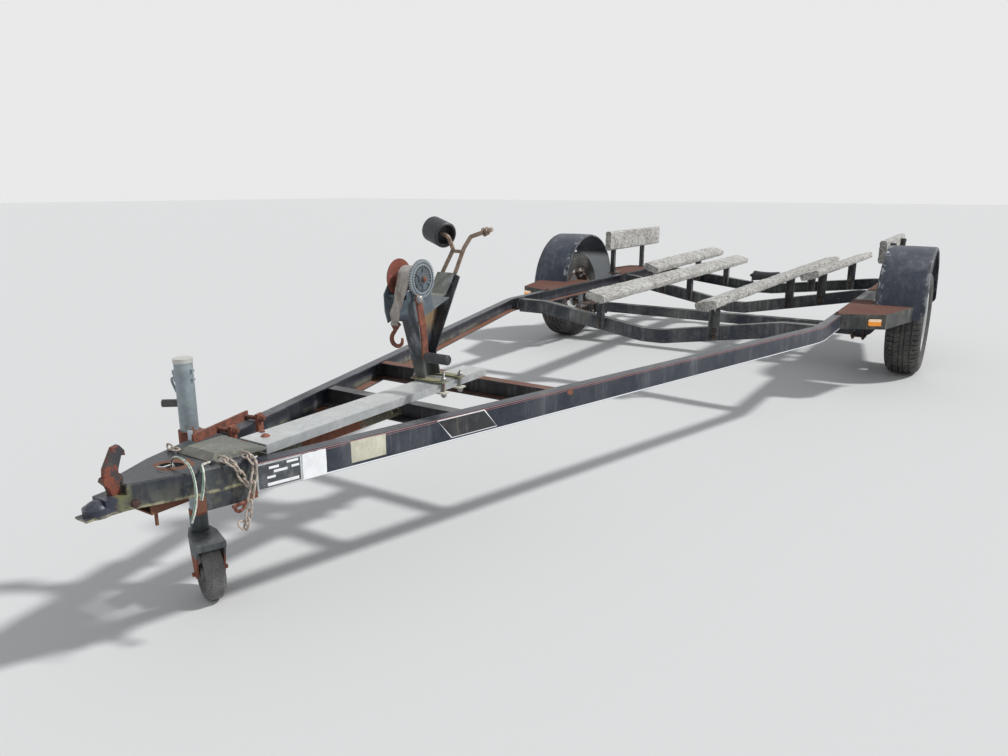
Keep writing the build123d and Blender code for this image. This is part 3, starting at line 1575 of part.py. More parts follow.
def make_jack_wheel():
    half = JACK_WHEEL_WIDTH / 2
    centre = jack_wheel_centre()
    side = caster_side()
    plane = Plane(origin=centre, x_dir=side, z_dir=side.cross(Vector(0, 0, 1)))
    with BuildPart() as wheel:
        with BuildSketch(plane):
            with BuildLine():
                bore = 6 + ROLLER_CLEAR
                radius = JACK_WHEEL_R
                Polyline(
                    (-half, bore),
                    (half, bore),
                    (half, 22),
                    (half - 10, 26),
                    (half - 10, 50),
                    (half - 2, 56),
                    (half - 4, radius - 9),
                    (half - 14, radius),
                    (14 - half, radius),
                    (4 - half, radius - 9),
                    (2 - half, 56),
                    (10 - half, 50),
                    (10 - half, 26),
                    (-half, 22),
                    close=True,
                )
            make_face()
        revolve(axis=Axis(centre, side))
    return wheel.part


# Safety chains


def sleeve_side(distance):
    """Half width of the coupler's sleeve over its outside at this distance ahead."""
    return rail_outer(distance) + (SEAT_GAP + COUPLER_WALL) / cos(RAIL_SPLAY)


def chain_spot(spots, spans, distance):
    """Place on the line of spots at this distance from its start."""
    for start, end, span in zip(spots, spots[1:], spans):
        if distance <= span:
            return start + (end - start) * (distance / span)
        distance -= span
    return spots[-1]


def link_outline(length, width):
    """Corners of a link's outline, its ends narrowed by slanting the corners."""
    end, side = length / 2, width / 2
    cut = 0.6 * side
    return (
        (end, cut - side), (end, side - cut), (end - cut, side), (cut - end, side),
        (-end, side - cut), (-end, cut - side), (cut - end, -side), (end - cut, -side),
    )


def make_chain(runs, lead):
    """Links laid along lines of points, each turned a quarter from the last."""
    outer = link_outline(LINK_LENGTH, LINK_WIDTH)
    inner = link_outline(LINK_LENGTH - 2 * LINK_WIRE, LINK_WIDTH - 2 * LINK_WIRE)
    with BuildPart() as chain:
        for points in runs:
            spots = [Vector(x, ahead(distance), z) for x, distance, z in points]
            spans = [(b - a).length for a, b in zip(spots, spots[1:])]
            count = int((sum(spans) - LINK_LENGTH) / LINK_PITCH) + 1
            for index in range(count):
                place = LINK_LENGTH / 2 + index * LINK_PITCH
                ends = [chain_spot(spots, spans, place + half * LINK_PITCH / 2) for half in (-1, 1)]
                way = (ends[1] - ends[0]).normalized()
                across_way = way.cross(lead).normalized()
                normal = across_way if index % 2 else way.cross(across_way).normalized()
                with BuildSketch(Plane(origin=(ends[0] + ends[1]) * 0.5, x_dir=way, z_dir=normal)):
                    with BuildLine():
                        Polyline(*outer, close=True)
                    make_face()
                    with BuildLine():
                        Polyline(*inner, close=True)
                    make_face(mode=Mode.SUBTRACT)
                extrude(amount=LINK_WIRE / 2, both=True)
    return chain.part


# Points outside the coupler's sleeve, distance ahead and height
CHAINS = {
    "safety_chain_front": (
        (-26, 4096, 470.3), (4, 4092, 470.9), (14, 4086, 463), (12.8, 4074, 438), (12.8, 4060, 408), (12.8, 4046, 378),
    ),
    "safety_chain_rear": (
        (-20, 4046, 470.4), (5, 4044, 471.5), (18, 4041, 465), (24, 4042, 444), (35, 4058, 408), (35, 4067, 372),
        (35, 4074, 336), (35, 4082, 302), (35, 4096, 316), (35, 4098, 346),
    ),
}
# Rusty links left on the far side of the coupler's top, as x, distance ahead and height
FAR_LINKS = ((-101, 4106, 470.3), (-30, 4114, 470.3))


# Wiring


# diameter, then x, distance ahead and height of the route's points
WIRES = {
    "harness_front": (
        6.0,
        (
            (4, 4166, LOOM_TOP + 0.2), (4, 4166, 470), (24, 4168, 486), (60, 4172, 488), (101, 4178, 474), (110, 4178, 420),
            (106, 4184, 374), (98, 4192, 346),
        ),
    ),
    "harness_rear": (
        6.0,
        ((80, 4115.2, 467), (80, 4131, 467), (92, 4147, 472), (112, 4157, 462), (120, 4165, 430), (117, 4174, 400)),
    ),
    "harness_loop": (3.0, ((17, 4167, LOOM_TOP + 0.2), (17, 4167, 464), (25, 4180, 470), (20, 4200, 467), (2, 4201, 466))),
}


def wire_radii(spots):
    """Bend radius at each inner point: the bend takes 0.45 of the shorter run beside it."""
    radii = []
    for before, here, after in zip(spots, spots[1:], spots[2:]):
        turn = radians((here - before).get_angle(after - here))
        radii.append(0.45 * min((here - before).length, (after - here).length) / tan(turn / 2))
    return radii


def make_wire(name, diameter, points):
    """Loose bundle of the trailer's wiring as one round cord along its route."""
    spots = [Vector(x, ahead(distance), z) for x, distance, z in points]
    radii = wire_radii(spots)
    print(name, "bend radii", [round(radius, 1) for radius in radii])
    with BuildPart() as wire:
        with BuildLine():
            FilletPolyline(*spots, radius=radii)
        with BuildSketch(Plane(origin=spots[0], z_dir=spots[1] - spots[0])):
            Circle(diameter / 2)
        sweep()
    return wire.part


def main():
    os.makedirs("parts", exist_ok=True)
    save_pair(make_rail(), "rail")
    save(make_tongue_crosses(), "cross_tongue")
    for name, values in DROP_MEMBERS.items():
        save(make_drop_member(*values), name)
    save(make_rear_cross(*REAR_CROSS), "cross_rear")
    save_pair(make_tyre(), "tyre")
    save_pair(make_rim(), "rim")
    save(make_axle(), "axle")
    save_pair(make_spring(), "spring")
    save_pair(make_hangers(), "spring_hangers")
    save_both(make_spring_clamp(), "spring_clamps")
    save_pair(make_fender(), "fender")
    save_pair(make_step(STEP_FRONT), "step_front")
    save_pair(make_step(STEP_REAR), "step_rear")
    save_both(make_lamp(STEP_FRONT, 0.78), "marker_lamps")
    save_both(make_lamp(STEP_REAR, 0.6), "tail_lamps")
    for name, (front, rear, roll) in BUNKS.items():
        save(make_bunk(front, rear, roll), name)
    save(make_brackets(), "bunk_brackets")
    save_pair(make_guide_board(), "guide_board")
    save_both(make_guide_posts(), "guide_posts")
    save(make_keel_roller(), "keel_roller")
    save(make_keel_bracket(), "keel_bracket")
    save(make_tongue_box(), "tongue_box")
    save(make_spine(), "tongue_spine")
    save(make_coupler(), "coupler")
    save(make_latch(), "coupler_latch")
    save(make_cap(), "coupler_cap")
    save(make_stand(), "winch_stand")
    save(make_winch_frame(), "winch_frame")
    save(make_gear(), "winch_gear")
    save(make_drum(), "winch_drum")
    save(make_strap(), "winch_strap")
    save(make_hook(), "winch_hook")
    save(make_crank(), "winch_crank")
    save(make_grip(), "winch_grip")
    save(make_bow_frame(), "bow_frame")
    save(make_bow_roller(), "bow_roller")
    save(make_jack_tube(), "jack_tube")
    save(make_jack_crank(), "jack_crank")
    save(make_jack_bracket(), "jack_bracket")
    save(make_jack_leg(), "jack_leg")
    save(make_fork(), "jack_fork")
    save(make_jack_wheel(), "jack_wheel")
    for name, points in CHAINS.items():
        runs = [[(sleeve_side(distance) + outside, distance, z) for outside, distance, z in points]]
        if name == "safety_chain_front":
            runs.append(FAR_LINKS)
        save(make_chain(runs, Vector(0, 1, 0)), name)
    for name, (diameter, points) in WIRES.items():
        save(make_wire(name, diameter, points), name)


main()
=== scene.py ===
import bmesh
import bpy
import math
import random
from mathutils import Matrix, Vector, noise


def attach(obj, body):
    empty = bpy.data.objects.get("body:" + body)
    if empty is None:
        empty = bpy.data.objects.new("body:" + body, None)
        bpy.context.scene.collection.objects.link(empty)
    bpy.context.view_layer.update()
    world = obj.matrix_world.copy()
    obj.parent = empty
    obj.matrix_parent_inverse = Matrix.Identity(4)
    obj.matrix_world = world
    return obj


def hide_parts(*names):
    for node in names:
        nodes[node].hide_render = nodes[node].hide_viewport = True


# Boat trailer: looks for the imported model. Metres, +X the trailer's left, -Y the front, +Z up.

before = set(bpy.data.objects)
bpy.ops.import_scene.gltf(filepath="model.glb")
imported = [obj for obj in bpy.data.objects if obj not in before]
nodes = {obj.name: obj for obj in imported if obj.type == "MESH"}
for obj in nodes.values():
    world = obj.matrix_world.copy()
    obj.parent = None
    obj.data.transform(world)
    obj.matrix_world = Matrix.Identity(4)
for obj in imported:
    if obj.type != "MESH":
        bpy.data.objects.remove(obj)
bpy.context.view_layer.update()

AXLE_Y = 1.368
RAIL_HALF = 0.907
RAIL_NOSE_HALF = 0.088
RAIL_NOSE_AHEAD = 4.150
RAIL_BEND_AHEAD = 1.266


def ahead(distance):
    """Y of a place this far ahead of the axle."""
    return AXLE_Y - distance


# Directions
SIDE = Vector((1, 0, 0))
REAR = Vector((0, 1, 0))
UP = Vector((0, 0, 1))

# Wheels, fenders, winch gear, jack tube and the coupler's opening
WHEEL_X = 1.161
WHEEL_Z = 0.314
FENDER_R = 0.390
FENDER_Y = ahead(-0.028)
FENDER_Z = 0.370
GEAR_Y = ahead(3.319)
GEAR_Z = 0.820
JACK_MIDDLE = Vector((-0.192, ahead(3.977), 0.0))
OPENING_X = 0.005
OPENING_Y = ahead(4.166)

# Camera, at the photograph's viewing angle
camera_data = bpy.data.cameras.new("camera")
camera_data.lens = 27.314
camera_data.sensor_width = 36.0
camera_data.clip_end = 200.0
camera = bpy.data.objects.new("camera", camera_data)
camera.location = (1.5785, -3.7993, 1.0919)
camera.rotation_euler = (math.radians(76.054), math.radians(-0.053), math.radians(32.803))
bpy.context.collection.objects.link(camera)
bpy.context.scene.camera = camera


# Mesh building


def across_ways(way, hint):
    """Two directions square to a way, the first one close to the hint."""
    first = hint - way * hint.dot(way)
    if first.length < 1e-6:
        first = way.orthogonal()
    first.normalize()
    return first, way.cross(first)


def place_along(origin, way, roll=0.0):
    """Matrix whose Z lies along a way."""
    turn = Vector(way).to_track_quat("Z", "Y").to_matrix().to_4x4()
    return Matrix.Translation(Vector(origin)) @ turn @ Matrix.Rotation(roll, 4, "Z")


def join_rings(shape, lower, upper, slot=0):
    """Faces between two rings of points; a ring of one point is a tip."""
    count = max(len(lower), len(upper))
    for index in range(count):
        after = (index + 1) % count
        if len(lower) == 1:
            corners = (lower[0], upper[after], upper[index])
        elif len(upper) == 1:
            corners = (lower[index], lower[after], upper[0])
        else:
            corners = (lower[index], lower[after], upper[after], upper[index])
        shape.faces.new(corners).material_index = slot


def join_all(shape, rings, slot=0, closed=False):
    """Faces from each ring to the next, and from the last to the first where closed."""
    for lower, upper in zip(rings, rings[1:]):
        join_rings(shape, lower, upper, slot)
    if closed:
        join_rings(shape, rings[-1], rings[0], slot)


def close_fold(shape, rings):
    """End faces of a folded sheet, from one side of its first and last ring to the other."""
    for ring in (rings[0], rings[-1]):
        for index in range(len(ring) // 2 - 1):
            shape.faces.new((ring[index], ring[index + 1], ring[-2 - index], ring[-1 - index]))


def turned(shape, profile, place, steps, closed=False):
    """Surface turned about the place's Z from (height, radius) points; a closed one is a hoop."""
    rings = []
    for height, radius in profile:
        if radius < 1e-6:
            rings.append([shape.verts.new(place @ Vector((0, 0, height)))])
            continue
        angles = [math.tau * index / steps for index in range(steps)]
        spots = [Vector((radius * math.cos(a), radius * math.sin(a), height)) for a in angles]
        rings.append([shape.verts.new(place @ spot) for spot in spots])
    join_all(shape, rings, closed=closed)


def smooth_line(spots, per_run):
    """Points on a smooth line through the spots."""
    spots = [Vector(spot) for spot in spots]
    line = []
    for index in range(len(spots) - 1):
        before = spots[max(index - 1, 0)]
        here, after = spots[index], spots[index + 1]
        beyond = spots[min(index + 2, len(spots) - 1)]
        for step in range(per_run):
            t = step / per_run
            run = (after - before) * t
            bend = (2 * before - 5 * here + 4 * after - beyond) * t * t
            twist = (3 * here - before - 3 * after + beyond) * t ** 3
            line.append(0.5 * (2 * here + run + bend + twist))
    line.append(spots[-1])
    return line


def swept(shape, spots, radii, sides=12, slot=0, closed=False, hint=(0, 0, 1)):
    """Round bar along the spots; radii is one radius or one for each spot."""
    spots = [Vector(spot) for spot in spots]
    if not hasattr(radii, "__len__"):
        radii = [radii] * len(spots)
    first = Vector(hint)
    rings = []
    for index, spot in enumerate(spots):
        if closed:
            way = spots[(index + 1) % len(spots)] - spots[index - 1]
        else:
            way = spots[min(index + 1, len(spots) - 1)] - spots[max(index - 1, 0)]
        first, second = across_ways(way.normalized(), first)
        ring = []
        for side in range(sides):
            angle = math.tau * side / sides
            out = first * math.cos(angle) + second * math.sin(angle)
            ring.append(shape.verts.new(spot + out * radii[index]))
        rings.append(ring)
    join_all(shape, rings, slot, closed)
    if not closed:
        for ring, order in ((rings[0], -1), (rings[-1], 1)):
            shape.faces.new(ring[::order]).material_index = slot


def soften(shape, edges, width, slot=0):
    """Round a plate's or a block's edges off."""
    bmesh.ops.bevel(
        shape, geom=list(edges), offset=width, segments=2, profile=0.6, affect="EDGES", material=slot,
    )


def block(shape, place, size, edge):
    """Block with softened edges, its middle at the place."""
    scale = Matrix.Diagonal((*size, 1.0))
    made = bmesh.ops.create_cube(shape, size=1.0, matrix=place @ scale)
    soften(shape, {e for vert in made["verts"] for e in vert.link_edges}, edge)


def panel(shape, outline, place, thick, edge, slot=0):
    """Flat plate from a plan outline in the place's XY, thickened along Z."""
    low = [shape.verts.new(place @ Vector((x, y, 0))) for x, y in outline]
    high = [shape.verts.new(place @ Vector((x, y, thick))) for x, y in outline]
    faces = [shape.faces.new(low[::-1]), shape.faces.new(high)]
    count = len(outline)
    for index in range(count):
        after = (index + 1) % count
        faces.append(shape.faces.new((low[index], low[after], high[after], high[index])))
    for face in faces:
        face.material_index = slot
    if edge:
        soften(shape, {e for face in faces for e in face.edges}, edge, slot)


NUT_WASHER = 0.0022
THREAD_PITCH = 0.0015


def hex_head(shape, origin, way, across, high, washer, thick, roll):
    """Washer and a chamfered hexagon head on a face, way pointing off the face."""
    place = place_along(origin, way, roll)
    if washer:
        r = washer / 2
        turned(
            shape,
            [
                (0, r * 0.3), (0, r - 0.0004), (0.0004, r), (thick - 0.0004, r), (thick, r - 0.0005),
                (thick, r * 0.3),
            ],
            place, 24,
        )
    else:
        thick = 0.0
    corner = across / 2 / math.cos(math.pi / 6)
    top = thick + high
    profile = [
        (thick, corner * 0.97), (thick + 0.0003, corner), (thick + high * 0.8, corner),
        (top, corner * 0.82), (top, 0),
    ]
    turned(shape, profile, place, 6)


def stud_nut(shape, origin, way, across, reach, rod, washer, roll):
    """Washer, nut and the threaded end that stands out of it."""
    hex_head(shape, origin, way, across, across * 0.55, washer, NUT_WASHER, roll)
    place = place_along(origin, way)
    start = NUT_WASHER + across * 0.5
    profile = []
    for index in range(max(1, int((reach - start) / THREAD_PITCH))):
        at = start + index * THREAD_PITCH
        profile += [(at, rod / 2 - 0.0006), (at + THREAD_PITCH / 2, rod / 2)]
    profile += [(reach, rod / 2 - 0.0007), (reach, 0)]
    turned(shape, profile, place, 14)


def dome_head(shape, origin, way, across, high):
    """Low round head, as on a carriage bolt or a rivet."""
    r = across / 2
    profile = [(0, r), (high * 0.3, r * 0.96), (high * 0.7, r * 0.72), (high * 0.95, r * 0.36), (high, 0)]
    turned(shape, profile, place_along(origin, way), 16)


def hand_of(side):
    return "left" if side > 0 else "right"


def piece(shape, name, materials, body, sharp=38.0, replaces=()):
    """Turn a shape into a piece of the trailer that rides on a body."""
    bmesh.ops.recalc_face_normals(shape, faces=shape.faces)
    mesh = bpy.data.meshes.new(name)
    shape.to_mesh(mesh)
    shape.free()
    for material in materials if isinstance(materials, (list, tuple)) else [materials]:
        mesh.materials.append(material)
    mesh.polygons.foreach_set("use_smooth", [True] * len(mesh.polygons))
    mesh.set_sharp_from_angle(angle=math.radians(sharp))
    made = bpy.data.objects.new(name, mesh)
    bpy.context.collection.objects.link(made)
    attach(made, body)
    if replaces:
        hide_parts(*replaces)
    return made


# Wiring, its routes as x, distance ahead of the axle and height
WIRE_ROUTES = {
    "harness_front": (
        (0.004, 4.166, 0.4462), (0.004, 4.166, 0.470), (0.024, 4.168, 0.486), (0.060, 4.172, 0.488),
        (0.101, 4.178, 0.474), (0.110, 4.178, 0.420), (0.106, 4.184, 0.374), (0.098, 4.192, 0.346),
    ),
    "harness_rear": (
        (0.080, 4.1152, 0.467), (0.080, 4.131, 0.467), (0.092, 4.147, 0.472), (0.112, 4.157, 0.462),
        (0.120, 4.165, 0.430), (0.117, 4.174, 0.400),
    ),
    "harness_loop": (
        (0.017, 4.167, 0.4462), (0.017, 4.167, 0.464), (0.025, 4.180, 0.470), (0.020, 4.200, 0.467),
        (0.002, 4.201, 0.466),
    ),
}


def route_curve(name, route):
    """Smooth spline whose control points are the route's points."""
    curve = bpy.data.curves.new(name, "CURVE")
    curve.dimensions = "3D"
    curve.resolution_u = 10
    spline = curve.splines.new("NURBS")
    spline.points.add(len(route) - 1)
    for point, (x, distance, z) in zip(spline.points, route):
        point.co = (x, ahead(distance), z, 1.0)
    spline.order_u = 3
    spline.use_endpoint_u = True
    return curve


def wire_line(name):
    """Points of a route's spline, one after another."""
    curve = route_curve(name + "_line", WIRE_ROUTES[name])
    carrier = bpy.data.objects.new(name + "_line", curve)
    mesh = bpy.data.meshes.new_from_object(carrier)
    line = [vert.co.copy() for vert in mesh.vertices]
    bpy.data.objects.remove(carrier)
    bpy.data.meshes.remove(mesh)
    return line


def plain_sheath(name, colour):
    """Soft plastic sheath of one wire, chalky and a little soiled."""
    material = bpy.data.materials.new(name)
    material.use_nodes = True
    tree = material.node_tree
    shader = tree.nodes["Principled BSDF"]
    place = tree.nodes.new("ShaderNodeTexCoord")
    soil = tree.nodes.new("ShaderNodeTexNoise")
    soil.inputs["Scale"].default_value = 130.0
    soil.inputs["Detail"].default_value = 4.0
    ramp = tree.nodes.new("ShaderNodeValToRGB")
    ramp.color_ramp.elements[0].position = 0.36
    ramp.color_ramp.elements[0].color = (*(c * 0.5 for c in colour), 1.0)
    ramp.color_ramp.elements[1].position = 0.56
    ramp.color_ramp.elements[1].color = (*colour, 1.0)
    tree.links.new(place.outputs["Object"], soil.inputs["Vector"])
    tree.links.new(soil.outputs["Fac"], ramp.inputs["Fac"])
    tree.links.new(ramp.outputs["Color"], shader.inputs["Base Color"])
    shader.inputs["Roughness"].default_value = 0.45
    return material


SHEATHS = [
    plain_sheath("White wire", (0.78, 0.77, 0.71)),
    plain_sheath("Green wire", (0.10, 0.30, 0.16)),
    plain_sheath("Cream wire", (0.62, 0.58, 0.46)),
    plain_sheath("Black wire", (0.025, 0.025, 0.028)),
]


# share of a bundle's length where its wires begin to part, and how far they part
PARTING = 0.7
FAN = 0.0010


def make_bundle(name, radius, strands, twist):
    """Wires that lie side by side along a route and part a little at the end."""
    line = wire_line(name)
    shape = bmesh.new()
    count = len(line)
    first = SIDE
    frames = []
    for index, spot in enumerate(line):
        way = (line[min(index + 1, count - 1)] - line[max(index - 1, 0)]).normalized()
        first, second = across_ways(way, first)
        frames.append((spot, first.copy(), second))
    for strand, (colour, thick) in enumerate(strands):
        run = []
        for index, (spot, one, two) in enumerate(frames):
            share = index / (count - 1)
            angle = math.tau * strand / len(strands) + twist * share
            out = radius - thick + FAN * max(0.0, share - PARTING) / (1 - PARTING)
            run.append(spot + (one * math.cos(angle) + two * math.sin(angle)) * out)
        swept(shape, run, thick, 8, colour, hint=SIDE)
    made = piece(shape, name.replace("harness", "wires"), SHEATHS, "frame", replaces=(name,))


# radius, then each wire's sheath and radius, and how far the wires twist
make_bundle(
    "harness_front", 0.003, [(0, 0.0015), (0, 0.0014), (1, 0.0011), (0, 0.0015), (2, 0.0014), (3, 0.0010)],
    2.4,
)
make_bundle("harness_rear", 0.003, [(0, 0.0015), (2, 0.0014), (0, 0.0015), (1, 0.0010), (0, 0.0012)], -2.0)


def make_loop_wire(name):
    """Thin white wire that loops forward beside the hood's opening."""
    curve = route_curve(name.replace("harness", "wires"), WIRE_ROUTES[name])
    curve.bevel_depth = 0.0015
    curve.bevel_resolution = 3
    curve.use_fill_caps = True
    curve.materials.append(SHEATHS[0])
    made = bpy.data.objects.new(curve.name, curve)
    bpy.context.collection.objects.link(made)
    line = wire_line(name)
    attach(made, "frame")
    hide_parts(name)


make_loop_wire("harness_loop")


# Shader building


class Tree:
    """A node tree with short ways to add and join its nodes."""

    def __init__(self, tree):
        self.tree = tree

    def add(self, kind, **values):
        node = self.tree.nodes.new(kind)
        for key, value in values.items():
            setattr(node, key, value)
        return node

    def link(self, source, target):
        self.tree.links.new(source, target)

    def feed(self, socket, value):
        """Join a socket to another one, or give it a plain value."""
        if isinstance(value, bpy.types.NodeSocket):
            self.link(value, socket)
        else:
            socket.default_value = value

    def noise(self, vector, scale, detail=6.0, roughness=0.6, distortion=0.0):
        node = self.add("ShaderNodeTexNoise")
        self.link(vector, node.inputs["Vector"])
        self.feed(node.inputs["Scale"], scale)
        node.inputs["Detail"].default_value = detail
        node.inputs["Roughness"].default_value = roughness
        node.inputs["Distortion"].default_value = distortion
        return node.outputs["Fac"]

    def math(self, operation, *values):
        node = self.add("ShaderNodeMath", operation=operation)
        for socket, value in zip(node.inputs, values):
            self.feed(socket, value)
        return node.outputs[0]

    def times(self, first, second):
        return self.math("MULTIPLY", first, second)

    def plus(self, first, second):
        return self.math("ADD", first, second)

    def minus(self, first, second):
        return self.math("SUBTRACT", first, second)

    def most(self, first, second):
        return self.math("MAXIMUM", first, second)

    def scaled(self, value, by, added):
        """A value times another, with a third one added."""
        return self.math("MULTIPLY_ADD", value, by, added)

    def reach(self, first, second):
        """Distance over two legs that are square to each other."""
        return self.math("SQRT", self.plus(self.times(first, first), self.times(second, second)))

    def fade(self, value, low, high, start=0.0, end=1.0):
        """Smooth step of a value between two levels."""
        node = self.add("ShaderNodeMapRange", interpolation_type="SMOOTHSTEP")
        self.feed(node.inputs["Value"], value)
        self.feed(node.inputs["From Min"], low)
        self.feed(node.inputs["From Max"], high)
        self.feed(node.inputs["To Min"], start)
        self.feed(node.inputs["To Max"], end)
        return node.outputs["Result"]

    def within(self, value, low, high, soft):
        """Mask of a value that lies between two levels."""
        over = self.fade(value, low - soft, low + soft)
        under = self.fade(value, high - soft, high + soft, 1.0, 0.0)
        return self.times(over, under)

    def mix(self, share, first, second):
        node = self.add("ShaderNodeMix", data_type="RGBA")
        self.feed(node.inputs[0], share)
        self.feed(node.inputs[6], first)
        self.feed(node.inputs[7], second)
        return node.outputs[2]

    def ramp(self, value, stops):
        node = self.add("ShaderNodeValToRGB")
        self.link(value, node.inputs["Fac"])
        ramp = node.color_ramp
        ramp.elements[0].position, ramp.elements[0].color = stops[0][0], (*stops[0][1], 1.0)
        ramp.elements[1].position, ramp.elements[1].color = stops[-1][0], (*stops[-1][1], 1.0)
        for position, colour in stops[1:-1]:
            ramp.elements.new(position).color = (*colour, 1.0)
        return node.outputs["Color"]

    def parts(self, vector):
        node = self.add("ShaderNodeSeparateXYZ")
        self.link(vector, node.inputs[0])
        return node.outputs[0], node.outputs[1], node.outputs[2]

    def stretched(self, vector, scale):
        node = self.add("ShaderNodeMapping")
        self.link(vector, node.inputs["Vector"])
        node.inputs["Scale"].default_value = scale
        return node.outputs["Vector"]

    def tint(self, share, base, colour):
        """The base colour with a plain one laid over it."""
        return self.mix(share, base, (*colour, 1.0))

    def place(self):
        return self.add("ShaderNodeTexCoord").outputs["Object"]

    def facing(self):
        return self.add("ShaderNodeTexCoord").outputs["Normal"]

    def up(self):
        """How far a face looks up."""
        return self.parts(self.facing())[2]

    def group(self, group, **values):
        node = self.add("ShaderNodeGroup")
        node.node_tree = group
        for name, value in values.items():
            self.feed(node.inputs[name.replace("_", " ")], value)
        return node.outputs


def new_group(name, inputs, outputs):
    group = bpy.data.node_groups.new(name, "ShaderNodeTree")
    kinds = {"value": "NodeSocketFloat", "colour": "NodeSocketColor"}
    for label, kind, default in inputs:
        socket = group.interface.new_socket(label, in_out="INPUT", socket_type=kinds[kind])
        socket.default_value = default
    for label, kind in outputs:
        group.interface.new_socket(label, in_out="OUTPUT", socket_type=kinds[kind])
    tree = Tree(group)
    return group, tree, tree.add("NodeGroupInput").outputs, tree.add("NodeGroupOutput").inputs


def make_rust_group():
    """Rust that blooms in patches: where it is, its colour and its crust."""
    inputs = [("Amount", "value", 0.3), ("Scale", "value", 9.0)]
    outputs = [("Mask", "value"), ("Colour", "colour"), ("Height", "value")]
    group, tree, given, result = new_group("Rust bloom", inputs, outputs)
    place = tree.place()
    broad = tree.noise(place, given["Scale"], 5.0, 0.62, 0.3)
    fine = tree.noise(place, tree.times(given["Scale"], 9.0), 4.0, 0.7)
    speck = tree.noise(place, tree.times(given["Scale"], 34.0), 2.0, 0.6)
    blend = tree.scaled(fine, 0.34, tree.times(broad, 0.66))
    level = tree.minus(0.76, tree.times(given["Amount"], 0.52))
    mask = tree.fade(blend, level, tree.plus(level, 0.045))
    stops = [
        (0.25, (0.060, 0.022, 0.014)), (0.45, (0.165, 0.055, 0.028)), (0.6, (0.245, 0.082, 0.040)),
        (0.8, (0.37, 0.155, 0.078)),
    ]
    tree.link(mask, result["Mask"])
    tree.link(tree.ramp(tree.scaled(fine, 0.6, tree.times(speck, 0.4)), stops), result["Colour"])
    tree.link(tree.times(tree.plus(fine, speck), mask), result["Height"])
    return group


def make_dust_group():
    """Pale dust and pollen that settles on faces that look up."""
    inputs = [("Amount", "value", 0.4), ("Scale", "value", 6.0)]
    group, tree, given, result = new_group("Settled dust", inputs, [("Mask", "value")])
    place = tree.place()
    up = tree.up()
    broad = tree.noise(place, given["Scale"], 6.0, 0.65)
    fine = tree.noise(place, tree.times(given["Scale"], 22.0), 3.0, 0.6)
    lie = tree.fade(up, -0.2, 1.0, 0.25, 1.0)
    patch = tree.fade(tree.scaled(fine, 0.35, tree.times(broad, 0.65)), 0.32, 0.72)
    tree.link(tree.times(tree.times(patch, lie), given["Amount"]), result["Mask"])
    return group


def make_moss_group():
    """Moss and lichen in yellow-green and grey specks."""
    inputs = [("Amount", "value", 0.3), ("Scale", "value", 14.0)]
    group, tree, given, result = new_group(
        "Moss and lichen", inputs, [("Mask", "value"), ("Colour", "colour")],
    )
    place = tree.place()
    broad = tree.noise(place, given["Scale"], 6.0, 0.7, 0.5)
    speck = tree.noise(place, tree.times(given["Scale"], 11.0), 4.0, 0.72)
    blend = tree.scaled(speck, 0.5, tree.times(broad, 0.5))
    level = tree.minus(0.70, tree.times(given["Amount"], 0.36))
    tree.link(tree.fade(blend, level, tree.plus(level, 0.08)), result["Mask"])
    stops = [
        (0.35, (0.10, 0.10, 0.055)), (0.5, (0.25, 0.235, 0.115)), (0.62, (0.38, 0.36, 0.25)),
        (0.75, (0.50, 0.50, 0.42)),
    ]
    tree.link(tree.ramp(speck, stops), result["Colour"])
    return group


def make_streak_group():
    """Streaks that rain has drawn down an upright face."""
    inputs = [("Amount", "value", 0.3), ("Scale", "value", 30.0)]
    group, tree, given, result = new_group("Rain streaks", inputs, [("Mask", "value")])
    place = tree.stretched(tree.place(), (1.0, 1.0, 0.10))
    lines = tree.noise(place, given["Scale"], 5.0, 0.68)
    patches = tree.noise(tree.place(), 5.0, 3.0, 0.6)
    mask = tree.times(tree.fade(lines, 0.46, 0.66), tree.fade(patches, 0.35, 0.62))
    tree.link(tree.times(mask, given["Amount"]), result["Mask"])
    return group


def make_grain_group():
    """Fine unevenness of a painted or moulded surface."""
    group, tree, given, result = new_group("Fine grain", [("Scale", "value", 160.0)], [("Height", "value")])
    tree.link(tree.noise(tree.place(), given["Scale"], 3.0, 0.55), result["Height"])
    return group


def make_spangle_group():
    """Crystal pattern of zinc, with its chalky bloom."""
    inputs = [("Scale", "value", 70.0)]
    group, tree, given, result = new_group("Zinc spangle", inputs, [("Shade", "value"), ("Bloom", "value")])
    place = tree.place()
    cells = tree.add("ShaderNodeTexVoronoi")
    tree.link(place, cells.inputs["Vector"])
    tree.link(given["Scale"], cells.inputs["Scale"])
    red = tree.parts(cells.outputs["Color"])[0]
    tree.link(tree.scaled(tree.noise(place, 40.0), 0.5, tree.times(red, 0.5)), result["Shade"])
    tree.link(tree.fade(tree.noise(place, 14.0, 7.0, 0.68), 0.48, 0.66), result["Bloom"])
    return group


def make_band_group():
    """A stripe between two heights on the outer side of the rails."""
    inputs = [("Low", "value", 0.40), ("High", "value", 0.41), ("Worn", "value", 0.3)]
    group, tree, given, result = new_group("Rail stripe", inputs, [("Mask", "value")])
    place = tree.place()
    x, _, z = tree.parts(place)
    out = tree.parts(tree.facing())[0]
    outward = tree.fade(tree.times(tree.math("SIGN", x), out), 0.5, 0.6)
    above = tree.fade(z, tree.minus(given["Low"], 0.0002), tree.plus(given["Low"], 0.0002))
    below = tree.fade(z, tree.minus(given["High"], 0.0002), tree.plus(given["High"], 0.0002), 1.0, 0.0)
    wear = tree.noise(place, 26.0, 6.0, 0.75)
    level = tree.scaled(given["Worn"], 0.6, 0.18)
    kept = tree.fade(wear, level, tree.plus(level, 0.08))
    tree.link(tree.times(tree.times(above, below), tree.times(outward, kept)), result["Mask"])
    return group


